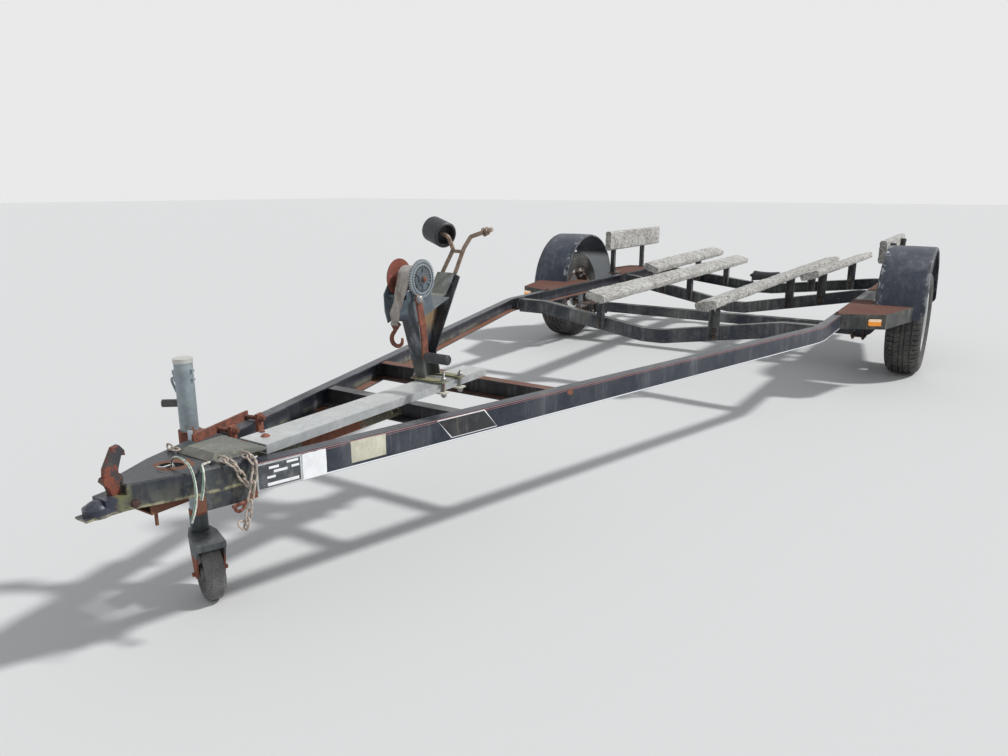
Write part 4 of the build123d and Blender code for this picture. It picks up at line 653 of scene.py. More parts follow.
rust_group = make_rust_group()
dust_group = make_dust_group()
moss_group = make_moss_group()
streak_group = make_streak_group()
grain_group = make_grain_group()
spangle_group = make_spangle_group()
band_group = make_band_group()

DUST = (0.42, 0.39, 0.33, 1.0)
CHALK = (0.40, 0.42, 0.45, 1.0)


def new_material(name):
    material = bpy.data.materials.new(name)
    material.use_nodes = True
    tree = Tree(material.node_tree)
    shader = material.node_tree.nodes["Principled BSDF"]
    return material, tree, shader


def bump(tree, shader, height, strength, distance):
    node = tree.add("ShaderNodeBump")
    node.inputs["Strength"].default_value = strength
    node.inputs["Distance"].default_value = distance
    tree.link(height, node.inputs["Height"])
    tree.link(node.outputs["Normal"], shader.inputs["Normal"])


def weathered(
    name, colour, faded, rust, dust, moss=0.0, streaks=0.0, top_rust=0.0, rough=0.38, rust_scale=9.0,
    rust_tint=None, zones=None, moss_scale=14.0, streak_colour=CHALK,
):
    """Old paint: faded, chalky, then moss, rust and dust; zones repaints places under the dirt."""
    material, tree, shader = new_material(name)
    place = tree.place()
    fading = tree.fade(tree.noise(place, 5.0, 6.0, 0.65), 0.36, 0.68)
    base = tree.mix(fading, (*colour, 1.0), (*faded, 1.0))
    if zones:
        base, rust = zones(tree, place, base, rust)
    if streaks:
        base = tree.mix(tree.group(streak_group, Amount=streaks, Scale=34.0)["Mask"], base, streak_colour)
    if moss:
        growth = tree.group(moss_group, Amount=moss, Scale=moss_scale)
        base = tree.mix(tree.times(growth["Mask"], 0.8), base, growth["Colour"])
    if top_rust:
        rust = tree.scaled(tree.fade(tree.up(), 0.5, 0.8), top_rust, rust)
    bloom = tree.group(rust_group, Amount=rust, Scale=rust_scale)
    crust = bloom["Colour"] if rust_tint is None else tree.mix(0.88, bloom["Colour"], (*rust_tint, 1.0))
    base = tree.mix(bloom["Mask"], base, crust)
    film = tree.group(dust_group, Amount=dust, Scale=5.0)
    base = tree.mix(film["Mask"], base, DUST)
    tree.link(base, shader.inputs["Base Color"])
    shader.inputs["Specular IOR Level"].default_value = 0.28
    roughness = tree.scaled(fading, 0.22, rough)
    roughness = tree.most(roughness, tree.times(bloom["Mask"], 0.9))
    roughness = tree.most(roughness, tree.times(film["Mask"], 0.85))
    tree.link(roughness, shader.inputs["Roughness"])
    grain = tree.group(grain_group, Scale=220.0)
    bump(tree, shader, tree.scaled(grain["Height"], 0.12, bloom["Height"]), 0.4, 0.0012)
    return material


def rail_zones(tree, place, base, rust):
    """Pinstripes, rusty top edge and the rust that lies inside the lower flange."""
    x, y, z = tree.parts(place)
    up = tree.up()
    stripes = (
        (0.4400, 0.4422, 0.22, (0.42, 0.22, 0.21, 1.0)),
        (0.4350, 0.4362, 0.26, (0.38, 0.19, 0.19, 1.0)),
        (0.3684, 0.3722, 0.08, (0.86, 0.89, 0.92, 1.0)),
    )
    for low, high, worn, colour in stripes:
        base = tree.mix(tree.group(band_group, Low=low, High=high, Worn=worn)["Mask"], base, colour)
    inner = tree.times(tree.fade(up, 0.5, 0.7), tree.fade(z, 0.376, 0.379, 1.0, 0.0))
    rear = tree.fade(y, ahead(3.30), ahead(3.10), 0.30, 0.88)
    front_joint = tree.within(y, ahead(3.47), ahead(3.38), 0.03)
    joints = tree.most(front_joint, tree.within(y, ahead(3.10), ahead(3.02), 0.03))
    inner_rust = tree.times(inner, tree.most(rear, tree.times(joints, 0.9)))
    upper = tree.fade(z, 0.4385, 0.4436, 0.0, 0.12)
    web = tree.within(z, 0.376, 0.392, 0.006)
    mossy = tree.times(web, tree.fade(tree.math("ABSOLUTE", x), 0.90, 0.70))
    mossy = tree.times(mossy, tree.fade(tree.noise(place, 12.0), 0.40, 0.60))
    outward = tree.times(tree.math("SIGN", x), tree.parts(tree.facing())[0])
    mossy = tree.times(mossy, tree.fade(outward, -0.3, -0.6))
    base = tree.tint(tree.times(mossy, 0.6), base, (0.20, 0.20, 0.14))
    spot_y = tree.minus(y, ahead(2.967))
    spot_z = tree.minus(z, 0.429)
    spot = tree.reach(spot_y, spot_z)
    spot = tree.scaled(tree.noise(place, 90.0), 0.030, spot)
    spot = tree.times(tree.fade(spot, 0.020, 0.036, 0.85, 0.0), tree.fade(x, 0.3, 0.31))
    amount = tree.most(tree.most(inner_rust, spot), tree.plus(upper, rust))
    return base, amount


def tongue_zones(tree, place, base, rust):
    """Front cross chalky on top, the second one rusted brown there."""
    y = tree.parts(place)[1]
    top = tree.fade(tree.up(), 0.5, 0.8)
    second = tree.fade(y, ahead(3.25), ahead(3.15))
    chalk = tree.times(top, tree.minus(1.0, second))
    base = tree.tint(tree.times(chalk, 0.5), base, (0.22, 0.22, 0.22))
    return base, tree.scaled(tree.times(top, second), 0.50, rust)


def spine_zones(tree, place, base, rust):
    """Bare rust in the middle of the channel's length."""
    y = tree.parts(place)[1]
    bare = tree.within(y, ahead(3.82), ahead(3.56), 0.06)
    return base, tree.scaled(bare, 0.45, rust)


def coupler_zones(tree, place, base, rust):
    """Blue-black ball housing, mossy joint, pale lip, and rust at the opening and the rear."""
    x, y, z = tree.parts(place)
    up = tree.up()
    ball = tree.fade(y, ahead(4.318), ahead(4.310), 1.0, 0.0)
    base = tree.tint(ball, base, (0.030, 0.036, 0.058))
    joint = tree.within(y, ahead(4.318), ahead(4.290), 0.006)
    joint = tree.times(joint, tree.fade(tree.noise(place, 45.0), 0.36, 0.5))
    base = tree.tint(tree.times(joint, 0.75), base, (0.20, 0.195, 0.075))
    side = tree.fade(up, 0.4, 0.7, 1.0, 0.0)
    broad = tree.times(tree.noise(place, 9.0, 7.0, 0.7), 0.6)
    grown = tree.plus(broad, tree.times(tree.noise(place, 60.0), 0.4))
    grown = tree.times(tree.fade(grown, 0.46, 0.54), tree.times(side, tree.fade(z, 0.455, 0.415)))
    grown = tree.times(grown, tree.minus(1.0, ball))
    base = tree.tint(tree.times(grown, 0.55), base, (0.125, 0.125, 0.095))
    lip = tree.within(z, 0.399, 0.406, 0.003)
    lip = tree.times(lip, tree.times(side, tree.fade(tree.noise(place, 30.0), 0.38, 0.56)))
    base = tree.tint(tree.times(lip, 0.8), base, (0.40, 0.37, 0.22))
    dx = tree.minus(x, OPENING_X)
    dy = tree.minus(y, OPENING_Y)
    far = tree.reach(dx, dy)
    opening = tree.times(tree.fade(far, 0.030, 0.075, 1.0, 0.0), tree.fade(up, 0.4, 0.7))
    rear = tree.times(tree.fade(y, ahead(4.09), ahead(4.02)), tree.fade(z, 0.41, 0.36))
    tray = tree.times(
        tree.fade(z, 0.401, 0.396, 0.0, 1.0), tree.fade(y, ahead(4.150), ahead(4.140), 1.0, 0.0),
    )
    most = tree.most(tree.times(opening, 0.75), tree.times(rear, 0.9))
    most = tree.most(most, tree.times(tray, 0.75))
    return base, tree.most(most, rust)


def stand_zones(tree, place, base, rust):
    """Tan inside the side web, greenish grey on the rear deck and the foot."""
    x, _, z = tree.parts(place)
    out = tree.parts(tree.facing())
    inside = tree.times(tree.fade(out[0], 0.6, 0.9), tree.fade(x, -0.024, -0.021))
    inside = tree.times(inside, tree.fade(x, -0.018, -0.014, 1.0, 0.0))
    high = tree.fade(z, 0.60, 0.66)
    base = tree.tint(tree.times(inside, high), base, (0.36, 0.235, 0.12))
    deck = tree.times(tree.fade(out[2], 0.3, 0.5), tree.fade(z, 0.735, 0.745))
    foot = tree.fade(z, 0.56, 0.50, 0.0, 1.0)
    pale = tree.most(tree.times(deck, 0.85), tree.times(foot, 0.5))
    return tree.mix(pale, base, (0.19, 0.20, 0.17, 1.0)), rust


def fender_zones(tree, place, base, rust):
    """Edge scuffs, a painted highlight on the rolled edges, painted shade inside and a painted sunlit patch
    low at the rear.
    """
    x, y, z = tree.parts(place)
    reach = tree.math("ABSOLUTE", x)
    outer = tree.fade(reach, 1.236, 1.262)
    inner = tree.fade(reach, 1.040, 1.010)
    edge = tree.most(outer, inner)
    # painted highlight: a thin pale blue line along both rolled edges
    rolled = tree.most(tree.fade(reach, 1.2605, 1.2632), tree.fade(reach, 1.0036, 1.0022))
    base = tree.tint(tree.times(rolled, 0.55), base, (0.24, 0.29, 0.36))
    chips = tree.fade(tree.noise(place, 13.0, 5.0, 0.68, 0.3), 0.525, 0.545)
    base = tree.tint(tree.times(tree.times(edge, chips), 0.9), base, (0.70, 0.75, 0.80))
    dy = tree.minus(y, FENDER_Y)
    dz = tree.minus(z, FENDER_Z)
    radius = tree.reach(dy, dz)
    # painted shade: the inside of the sheet darkened to near black
    under = tree.fade(radius, 0.3875, 0.3885, 1.0, 0.0)
    base = tree.tint(tree.times(under, 0.75), base, (0.018, 0.022, 0.028))
    # painted sunlight: a pale grey patch inside the far fender, low at the rear
    low = tree.times(tree.fade(dy, 0.20, 0.25), tree.fade(z, 0.62, 0.56, 0.0, 1.0))
    patch = tree.times(tree.times(under, low), tree.fade(x, -0.3, -0.9))
    base = tree.tint(tree.times(patch, 0.95), base, (0.74, 0.77, 0.78))
    return base, rust


def rim_zones(tree, place, base, rust):
    """Rust round the hub and in the corners of the rim."""
    x, y, z = tree.parts(place)
    dy = tree.minus(y, AXLE_Y)
    dz = tree.minus(z, WHEEL_Z)
    radius = tree.reach(dy, dz)
    hub = tree.fade(radius, 0.070, 0.050, 0.0, 0.75)
    seat = tree.times(tree.within(radius, 0.156, 0.176, 0.004), 0.20)
    back = tree.fade(tree.math("ABSOLUTE", x), 1.166, 1.150, 0.0, 0.65)
    return base, tree.most(tree.most(hub, back), tree.most(seat, rust))


def jack_zones(tree, place, base, rust):
    """Pale weathered cap and rust where the hoop holds the tube."""
    z = tree.parts(place)[2]
    base = tree.tint(tree.fade(z, 0.6455, 0.6475), base, (0.55, 0.55, 0.52))
    hoop = tree.within(z, 0.40, 0.478, 0.02)
    return base, tree.scaled(hoop, 0.35, rust)


def fork_zones(tree, place, base, rust):
    """Blue-grey hood, the arms below it rusted through their paint."""
    z = tree.parts(place)[2]
    low = tree.fade(z, 0.150, 0.120, 0.0, 0.45)
    ring = tree.within(z, 0.222, 0.240, 0.003)
    return base, tree.most(tree.plus(low, rust), tree.times(ring, 0.95))


def gear_zones(tree, place, base, rust):
    """Teeth and the ring under them worn bright."""
    _, y, z = tree.parts(place)
    dy = tree.minus(y, GEAR_Y)
    dz = tree.minus(z, GEAR_Z)
    radius = tree.reach(dy, dz)
    teeth = tree.fade(radius, 0.0515, 0.0535, 0.0, 0.75)
    bright = tree.most(teeth, tree.within(radius, 0.0425, 0.0450, 0.0008))
    return tree.mix(bright, base, (0.42, 0.46, 0.48, 1.0)), rust


def cap_zones(tree, place, base, rust):
    """Brown facet on the cap's far side."""
    brown = tree.fade(tree.parts(tree.facing())[0], -0.05, -0.25)
    return tree.mix(tree.times(brown, 0.8), base, (0.145, 0.085, 0.050, 1.0)), rust


def rusty(
    name, amount, paint=(0.06, 0.05, 0.05), rough=0.76, scale=14.0, *, tint, dust=0.22, scabs=0.6,
    share=0.55,
):
    """Steel rusted all over, thicker where the bloom is."""
    material, tree, shader = new_material(name)
    under = tree.group(rust_group, Amount=0.9, Scale=scale * 1.7)
    base = tree.mix(0.5, under["Colour"], (*paint, 1.0))
    bloom = tree.group(rust_group, Amount=amount, Scale=scale)
    base = tree.mix(bloom["Mask"], base, bloom["Colour"])
    base = tree.tint(share, base, tint)
    old_layer = tree.noise(tree.place(), scale * 1.3, 5.0, 0.62, 0.8)
    deep = (*(c * 0.42 for c in tint), 1.0)
    base = tree.mix(tree.fade(old_layer, 0.47, 0.60, 0.0, 0.62), base, deep)
    scab = tree.noise(tree.place(), scale * 2.2, 6.0, 0.7, 0.5)
    base = tree.tint(tree.fade(scab, 0.50, 0.62, 0.0, scabs), base, (0.035, 0.022, 0.020))
    pale = (*(min(1.0, c * 1.7) for c in tint), 1.0)
    base = tree.mix(tree.fade(scab, 0.34, 0.44, 0.35, 0.0), base, pale)
    film = tree.group(dust_group, Amount=dust, Scale=8.0)
    base = tree.mix(film["Mask"], base, DUST)
    tree.link(base, shader.inputs["Base Color"])
    tree.link(tree.scaled(bloom["Mask"], 0.15, rough), shader.inputs["Roughness"])
    grain = tree.group(grain_group, Scale=260.0)
    bump(tree, shader, tree.scaled(grain["Height"], 0.3, bloom["Height"]), 0.6, 0.0013)
    return material


def galvanised(name, colour, bloom_colour, rust, metal, zones=None):
    """Zinc with its spangle and chalky bloom, rusting through in places."""
    material, tree, shader = new_material(name)
    place = tree.place()
    spangle = tree.group(spangle_group, Scale=90.0)
    base = tree.mix(spangle["Shade"], (*(c * 0.72 for c in colour), 1.0), (*colour, 1.0))
    base = tree.tint(tree.times(spangle["Bloom"], 0.6), base, bloom_colour)
    if zones:
        base, rust = zones(tree, place, base, rust)
    bloom = tree.group(rust_group, Amount=rust, Scale=16.0)
    film = tree.group(dust_group, Amount=0.3, Scale=9.0)
    base = tree.mix(bloom["Mask"], base, bloom["Colour"])
    base = tree.mix(film["Mask"], base, DUST)
    tree.link(base, shader.inputs["Base Color"])
    tree.link(tree.times(tree.minus(1.0, bloom["Mask"]), metal), shader.inputs["Metallic"])
    roughness = tree.scaled(spangle["Bloom"], 0.3, 0.38)
    roughness = tree.most(roughness, tree.times(bloom["Mask"], 0.85))
    tree.link(roughness, shader.inputs["Roughness"])
    grain = tree.group(grain_group, Scale=240.0)
    bump(tree, shader, tree.scaled(grain["Height"], 0.2, bloom["Height"]), 0.35, 0.0010)
    return material


def rubber(name, colour, dusty, dust, rough=0.62, grit=90.0):
    """Rubber or black plastic, paler where it has dried, with grit on it."""
    material, tree, shader = new_material(name)
    place = tree.place()
    shade = tree.noise(place, 12.0, 6.0, 0.65)
    base = tree.mix(tree.fade(shade, 0.35, 0.7), (*colour, 1.0), (*dusty, 1.0))
    speckle = tree.fade(tree.noise(place, grit, 4.0, 0.65), 0.52, 0.70)
    base = tree.mix(tree.times(speckle, dust), base, DUST)
    tree.link(base, shader.inputs["Base Color"])
    tree.link(tree.scaled(shade, 0.25, rough), shader.inputs["Roughness"])
    bump(tree, shader, tree.noise(place, 320.0, 3.0, 0.6), 0.25, 0.0006)
    return material


def carpet(name):
    """Outdoor carpet, bleached and grown over, with dark worn patches."""
    material, tree, shader = new_material(name)
    place = tree.place()
    streak = tree.noise(tree.stretched(place, (1.0, 0.40, 1.0)), 62.0, 8.0, 0.78, 0.8)
    patch = tree.noise(place, 9.0, 6.0, 0.7, 0.4)
    lump = tree.noise(place, 115.0, 5.0, 0.75)
    pile = tree.noise(place, 420.0, 4.0, 0.75)
    tone = tree.plus(tree.times(streak, 0.46), tree.times(patch, 0.18))
    tone = tree.scaled(lump, 0.36, tone)
    stops = [
        (0.395, (0.050, 0.046, 0.041)), (0.445, (0.19, 0.18, 0.16)), (0.495, (0.52, 0.505, 0.465)),
        (0.575, (0.85, 0.84, 0.80)),
    ]
    base = tree.ramp(tone, stops)
    base = tree.tint(tree.fade(pile, 0.35, 0.62, 0.0, 0.42), base, (0.20, 0.19, 0.165))
    growth = tree.group(moss_group, Amount=0.32, Scale=18.0)
    base = tree.mix(tree.times(growth["Mask"], 0.35), base, growth["Colour"])
    tree.link(base, shader.inputs["Base Color"])
    shader.inputs["Roughness"].default_value = 0.95
    shader.inputs["Sheen Weight"].default_value = 0.25
    height = tree.scaled(pile, 0.45, tree.times(lump, 1.3))
    bump(tree, shader, height, 0.9, 0.004)
    return material


def lens(name, colour, glow, sunned=False):
    """Moulded lens with fine upright ribs, bright with the light inside it."""
    material, tree, shader = new_material(name)
    place = tree.place()
    ribs = tree.add("ShaderNodeTexWave", wave_type="BANDS")
    tree.link(place, ribs.inputs["Vector"])
    ribs.inputs["Scale"].default_value = 90.0
    shade = tree.noise(place, 30.0, 5.0, 0.6)
    base = tree.mix(tree.fade(shade, 0.4, 0.75), (*colour, 1.0), (*(c * 0.8 for c in colour), 1.0))
    if sunned:
        top = tree.parts(place)[2]
        base = tree.tint(tree.fade(top, 0.4090, 0.4130, 0.0, 0.75), base, (0.93, 0.78, 0.60))
    tree.link(base, shader.inputs["Base Color"])
    tree.link(base, shader.inputs["Emission Color"])
    shader.inputs["Emission Strength"].default_value = glow
    tree.link(tree.scaled(shade, 0.3, 0.14), shader.inputs["Roughness"])
    shader.inputs["Coat Weight"].default_value = 0.3
    bump(tree, shader, ribs.outputs["Fac"], 0.3, 0.0008)
    return material


def webbing(name):
    """Flat woven strap, sun-bleached, with rusty dirt worked into it."""
    material, tree, shader = new_material(name)
    place = tree.place()
    weave = tree.add("ShaderNodeTexWave", wave_type="BANDS", bands_direction="Z")
    tree.link(place, weave.inputs["Vector"])
    weave.inputs["Scale"].default_value = 190.0
    weave.inputs["Distortion"].default_value = 1.2
    long = tree.noise(tree.stretched(place, (1.0, 1.0, 0.2)), 60.0, 5.0, 0.7)
    shade = tree.noise(place, 22.0, 6.0, 0.7)
    tone = tree.scaled(long, 0.5, tree.times(shade, 0.5))
    stops = [
        (0.34, (0.12, 0.085, 0.068)), (0.44, (0.31, 0.26, 0.225)), (0.54, (0.50, 0.465, 0.42)),
        (0.64, (0.62, 0.60, 0.56)),
    ]
    base = tree.mix(
        tree.times(weave.outputs["Fac"], 0.22), tree.ramp(tone, stops), (0.13, 0.10, 0.085, 1.0),
    )
    tree.link(base, shader.inputs["Base Color"])
    shader.inputs["Roughness"].default_value = 0.9
    shader.inputs["Sheen Weight"].default_value = 0.15
    bump(tree, shader, weave.outputs["Fac"], 0.5, 0.0008)
    return material


def sticker(name, colour, stained, peel=0.5, rough=0.5):
    """Vinyl or coated plate, stained from its edges and flecked where it has lifted."""
    material, tree, shader = new_material(name)
    place = tree.place()
    stain = tree.noise(place, 34.0, 6.0, 0.7)
    fleck = tree.noise(place, 210.0, 3.0, 0.7)
    base = tree.mix(tree.fade(stain, 0.42, 0.72), (*colour, 1.0), (*stained, 1.0))
    base = tree.tint(tree.times(tree.fade(fleck, 0.60, 0.66), peel), base, (0.16, 0.15, 0.14))
    base = tree.mix(tree.group(streak_group, Amount=0.35, Scale=60.0)["Mask"], base, DUST)
    tree.link(base, shader.inputs["Base Color"])
    tree.link(tree.scaled(stain, 0.3, rough - 0.1), shader.inputs["Roughness"])
    bump(tree, shader, tree.scaled(fleck, 0.2, stain), 0.25, 0.0006)
    return material


paint_rail = weathered(
    "Dark rail paint with pinstripes", (0.020, 0.026, 0.042), (0.042, 0.050, 0.068), 0.17, 0.26, 0.08, 0.16,
    zones=rail_zones, rough=0.30, rust_tint=(0.24, 0.095, 0.055),
)
paint_frame = weathered(
    "Dark frame paint", (0.022, 0.028, 0.042), (0.085, 0.093, 0.092), 0.16, 0.40, 0.37, 0.32,
    moss_scale=13.0, rust_tint=(0.18, 0.075, 0.05),
)
paint_tongue = weathered(
    "Dark tongue channel paint", (0.018, 0.020, 0.027), (0.045, 0.043, 0.045), 0.20, 0.25, 0.18, 0.2,
    zones=tongue_zones, rust_tint=(0.15, 0.065, 0.048),
)
paint_bracket = weathered(
    "Bracket paint", (0.030, 0.033, 0.040), (0.075, 0.078, 0.078), 0.26, 0.3, 0.42, 0.4,
    rust_tint=(0.16, 0.07, 0.05),
)
paint_fender = weathered(
    "Fender paint", (0.034, 0.044, 0.070), (0.054, 0.066, 0.096), 0.08, 0.16, 0.0, 0.2, zones=fender_zones,
    rough=0.40,
)
paint_step = weathered(
    "Step paint", (0.040, 0.043, 0.046), (0.105, 0.108, 0.100), 0.30, 0.10, 0.42, 0.7, 0.62, 0.5,
    rust_tint=(0.105, 0.042, 0.030), streak_colour=(0.20, 0.20, 0.165, 1.0), rust_scale=13.0,
)
paint_coupler = weathered(
    "Coupler paint", (0.018, 0.023, 0.032), (0.048, 0.054, 0.060), 0.24, 0.14, 0.0, 0.12,
    zones=coupler_zones, rough=0.26, rust_tint=(0.165, 0.072, 0.046),
)
paint_cap = weathered(
    "Coupler cap paint", (0.070, 0.078, 0.068), (0.150, 0.155, 0.120), 0.34, 0.3, 0.40, 0.3, moss_scale=8.0,
    zones=cap_zones,
)
paint_olive = weathered(
    "Tongue spine paint", (0.075, 0.070, 0.048), (0.150, 0.135, 0.090), 0.34, 0.4, 0.46, 0.3,
    zones=spine_zones,
)
paint_stand = weathered(
    "Winch stand paint", (0.022, 0.028, 0.040), (0.068, 0.078, 0.086), 0.22, 0.3, 0.22, 0.6,
    zones=stand_zones, moss_scale=8.0,
)
paint_rim = weathered(
    "Wheel paint", (0.66, 0.67, 0.67), (0.78, 0.79, 0.79), 0.12, 0.25, 0.0, 0.3, zones=rim_zones,
    rust_scale=16.0, rust_tint=(0.055, 0.036, 0.028),
)
zinc_box = galvanised("Galvanised tongue box", (0.58, 0.60, 0.60), (0.68, 0.69, 0.68), 0.08, 0.25)
zinc_jack = galvanised("Galvanised jack", (0.29, 0.35, 0.38), (0.42, 0.48, 0.49), 0.14, 0.25, jack_zones)
zinc_winch = galvanised("Plated winch steel", (0.105, 0.140, 0.170), (0.22, 0.26, 0.29), 0.26, 0.30)
zinc_gear = galvanised(
    "Plated winch gear", (0.090, 0.120, 0.145), (0.19, 0.225, 0.25), 0.22, 0.30, gear_zones,
)
zinc_bolt = galvanised("Plated bolts", (0.36, 0.36, 0.35), (0.46, 0.45, 0.43), 0.40, 0.45)
rust_bright = rusty("Bright rust", 0.95, scale=18.0, tint=(0.265, 0.084, 0.054), scabs=0.5)
rust_rod = rusty(
    "Rusty rods", 0.45, (0.40, 0.34, 0.27), 0.62, 22.0, tint=(0.38, 0.29, 0.21), dust=0.4, scabs=0.40,
)
paint_latch = weathered(
    "Latch paint", (0.036, 0.036, 0.043), (0.075, 0.068, 0.068), 0.52, 0.12, rust_scale=15.0,
    rust_tint=(0.22, 0.065, 0.042),
)
rust_hook = rusty("Rusty hook", 0.85, tint=(0.24, 0.086, 0.055))
rust_dark = rusty("Dark rust", 0.55, tint=(0.072, 0.046, 0.038), share=0.86)
rust_chain = rusty(
    "Chain rust", 0.30, (0.56, 0.50, 0.43), 0.55, 60.0, tint=(0.54, 0.46, 0.385), scabs=0.35, share=0.7,
)
paint_drum = rusty("Rusty drum flange", 0.8, tint=(0.30, 0.075, 0.055))
tyre_rubber = rubber("Tyre rubber", (0.030, 0.030, 0.031), (0.085, 0.082, 0.076), 0.30)
caster_rubber = rubber("Jack wheel rubber", (0.095, 0.094, 0.096), (0.175, 0.172, 0.170), 0.55, 0.72, 260.0)
roller_rubber = rubber("Roller rubber", (0.020, 0.021, 0.024), (0.045, 0.046, 0.050), 0.10, 0.40)
black_plastic = rubber("Black grip", (0.034, 0.036, 0.040), (0.075, 0.077, 0.080), 0.15, 0.5)
grey_grip = rubber("Jack crank grip", (0.075, 0.070, 0.072), (0.125, 0.118, 0.118), 0.25, 0.7)
paint_fork = weathered(
    "Jack fork paint", (0.040, 0.050, 0.056), (0.085, 0.100, 0.104), 0.22, 0.3, 0.20, 0.2, zones=fork_zones,
    rust_tint=(0.28, 0.098, 0.060),
)
bunk_carpet = carpet("Weathered carpet")
amber_lens = lens("Amber lens", (0.90, 0.30, 0.02), 0.25, True)
red_lens = lens("Red lens", (0.48, 0.02, 0.02), 0.05)
strap_webbing = webbing("Winch webbing")
plate_dark = sticker("Dark data plate", (0.055, 0.060, 0.068), (0.16, 0.17, 0.18), 0.2, 0.42)
plate_metal = sticker("Bright plate edge", (0.55, 0.57, 0.58), (0.34, 0.34, 0.33), 0.4, 0.35)
sticker_white = sticker("White sticker", (0.93, 0.94, 0.95), (0.82, 0.83, 0.84), 0.12)
sticker_cream = sticker("Cream sticker", (0.62, 0.60, 0.48), (0.50, 0.47, 0.36), 0.35)
badge_black = sticker("Badge face", (0.018, 0.019, 0.022), (0.045, 0.046, 0.050), 0.1, 0.36)
moss_metal = weathered(
    "Mossy clamp plates", (0.13, 0.135, 0.075), (0.26, 0.265, 0.15), 0.14, 0.3, 0.85, 0.0, rough=0.6,
)
moss_pale = weathered(
    "Lime and moss on the lower plates", (0.46, 0.46, 0.38), (0.60, 0.60, 0.50), 0.10, 0.3, 0.40, 0.0,
    rough=0.7,
)
blue_plate = weathered("Pale blue plate", (0.42, 0.52, 0.62), (0.52, 0.60, 0.66), 0.16, 0.2)

FINISHES = {
    paint_rail: ("rail_left", "rail_right"),
    paint_tongue: ("cross_tongue",),
    paint_frame: (
        "cross_front", "cross_middle", "cross_rear", "axle", "spring_hangers_left", "spring_hangers_right",
        "keel_bracket",
    ),
    paint_bracket: ("bunk_brackets", "guide_posts"),
    paint_fender: ("fender_left", "fender_right"),
    paint_step: ("step_front_left", "step_front_right", "step_rear_left", "step_rear_right"),
    paint_coupler: ("coupler",),
    paint_cap: ("coupler_cap",),
    paint_olive: ("tongue_spine",),
    paint_stand: ("winch_stand",),
    paint_rim: ("rim_left", "rim_right"),
    zinc_box: ("tongue_box",),
    zinc_jack: ("jack_tube", "jack_leg"),
    zinc_winch: ("winch_frame",),
    zinc_gear: ("winch_gear",),
    rust_bright: ("jack_bracket", "winch_crank"),
    paint_latch: ("coupler_latch",),
    rust_hook: ("winch_hook",),
    rust_rod: ("bow_frame",),
    paint_drum: ("winch_drum",),
    rust_dark: ("spring_left", "spring_right", "spring_clamps"),
    rust_chain: ("safety_chain_front", "safety_chain_rear"),
    tyre_rubber: ("tyre_left", "tyre_right"),
    roller_rubber: ("keel_roller", "bow_roller"),
    black_plastic: ("winch_grip",),
    grey_grip: ("jack_crank",),
    caster_rubber: ("jack_wheel",),
    paint_fork: ("jack_fork",),
    bunk_carpet: (
        "bunk_inner_left", "bunk_inner_right", "bunk_outer_left", "bunk_outer_right", "guide_board_left",
        "guide_board_right",
    ),
    amber_lens: ("marker_lamps",),
    red_lens: ("tail_lamps",),
    strap_webbing: ("winch_strap",),
}
for material, names in FINISHES.items():
    for name in names:
        nodes[name].data.materials.clear()
        nodes[name].data.materials.append(material)


# Tyres and wheel fittings

TREAD_PITCHES = 62
TREAD_WEAR = 0.00035
# radius where the tread begins, depth up to which its slots are slanted, and their slant in pitches
TREAD_FROM = 0.300
SHALLOW_SLOT = 0.0045
SLANT = 0.0875
# distance from the tyre's middle, radius and depth of the shoulder slots there
TYRE_SIDE = (
    (0.0700, 0.1783, 0.0), (0.0700, 0.1965, 0.0), (0.0735, 0.1995, 0.0), (0.0790, 0.2010, 0.0),
    (0.0800, 0.2060, 0.0),
    (0.0822, 0.2090, 0.0), (0.0834, 0.2130, 0.0), (0.0852, 0.2138, 0.0), (0.0862, 0.2170, 0.0),
    (0.0900, 0.2270, 0.0),
    (0.0925, 0.2365, 0.0), (0.0942, 0.2460, 0.0), (0.0948, 0.2540, 0.0), (0.0944, 0.2630, 0.0),
    (0.0930, 0.2710, 0.0),
    (0.0934, 0.2722, 0.0), (0.0924, 0.2762, 0.0), (0.0890, 0.2850, 0.001), (0.0850, 0.2920, 0.004),
    (0.0800, 0.2985, 0.006),
    (0.0745, 0.3040, 0.007), (0.0690, 0.3074, 0.007), (0.0620, 0.3097, 0.007), (0.0545, 0.3112, 0.006),
)
# distance from the middle, radius and depth of the rib's sipes there
TYRE_CROWN = (
    (0.0480, 0.3122, 0.0), (0.0470, 0.3050, 0.0), (0.0410, 0.3052, 0.0), (0.0400, 0.3128, 0.0),
    (0.0330, 0.3131, 0.003),
    (0.0230, 0.3134, 0.003), (0.0160, 0.3136, 0.0), (0.0150, 0.3062, 0.0), (0.0090, 0.3064, 0.0),
    (0.0080, 0.3138, 0.0),
    (0.0040, 0.3139, 0.002),
)
# share of a pitch, and how much of a slot's depth is cut there
PITCH_STEPS = ((0.0, 1.0), (0.03, 1.0), (0.19, 1.0), (0.22, 0.0), (0.60, 0.0), (0.975, 0.0))
# height and radius
GREASE_CAP = (
    (0.0285, 0.0300), (0.0305, 0.0312), (0.0325, 0.0300), (0.0345, 0.0278), (0.0440, 0.0276),
    (0.0485, 0.0252),
    (0.0515, 0.0200), (0.0526, 0.0120), (0.0528, 0.0),
)
VALVE_STEM = (
    (-0.004, 0.0), (-0.004, 0.0062), (0.004, 0.0070), (0.010, 0.0050), (0.026, 0.0040), (0.027, 0.0046),
    (0.037, 0.0044), (0.038, 0.0),
)
LUG_COUNT = 5
LUG_CIRCLE = 0.0500
LUG_TURN = 0.3
VALVE_CIRCLE = 0.160
VALVE_TURN = 1.0


def spoke(angle):
    """Direction square to the axles."""
    return Vector((0, math.cos(angle), math.sin(angle)))


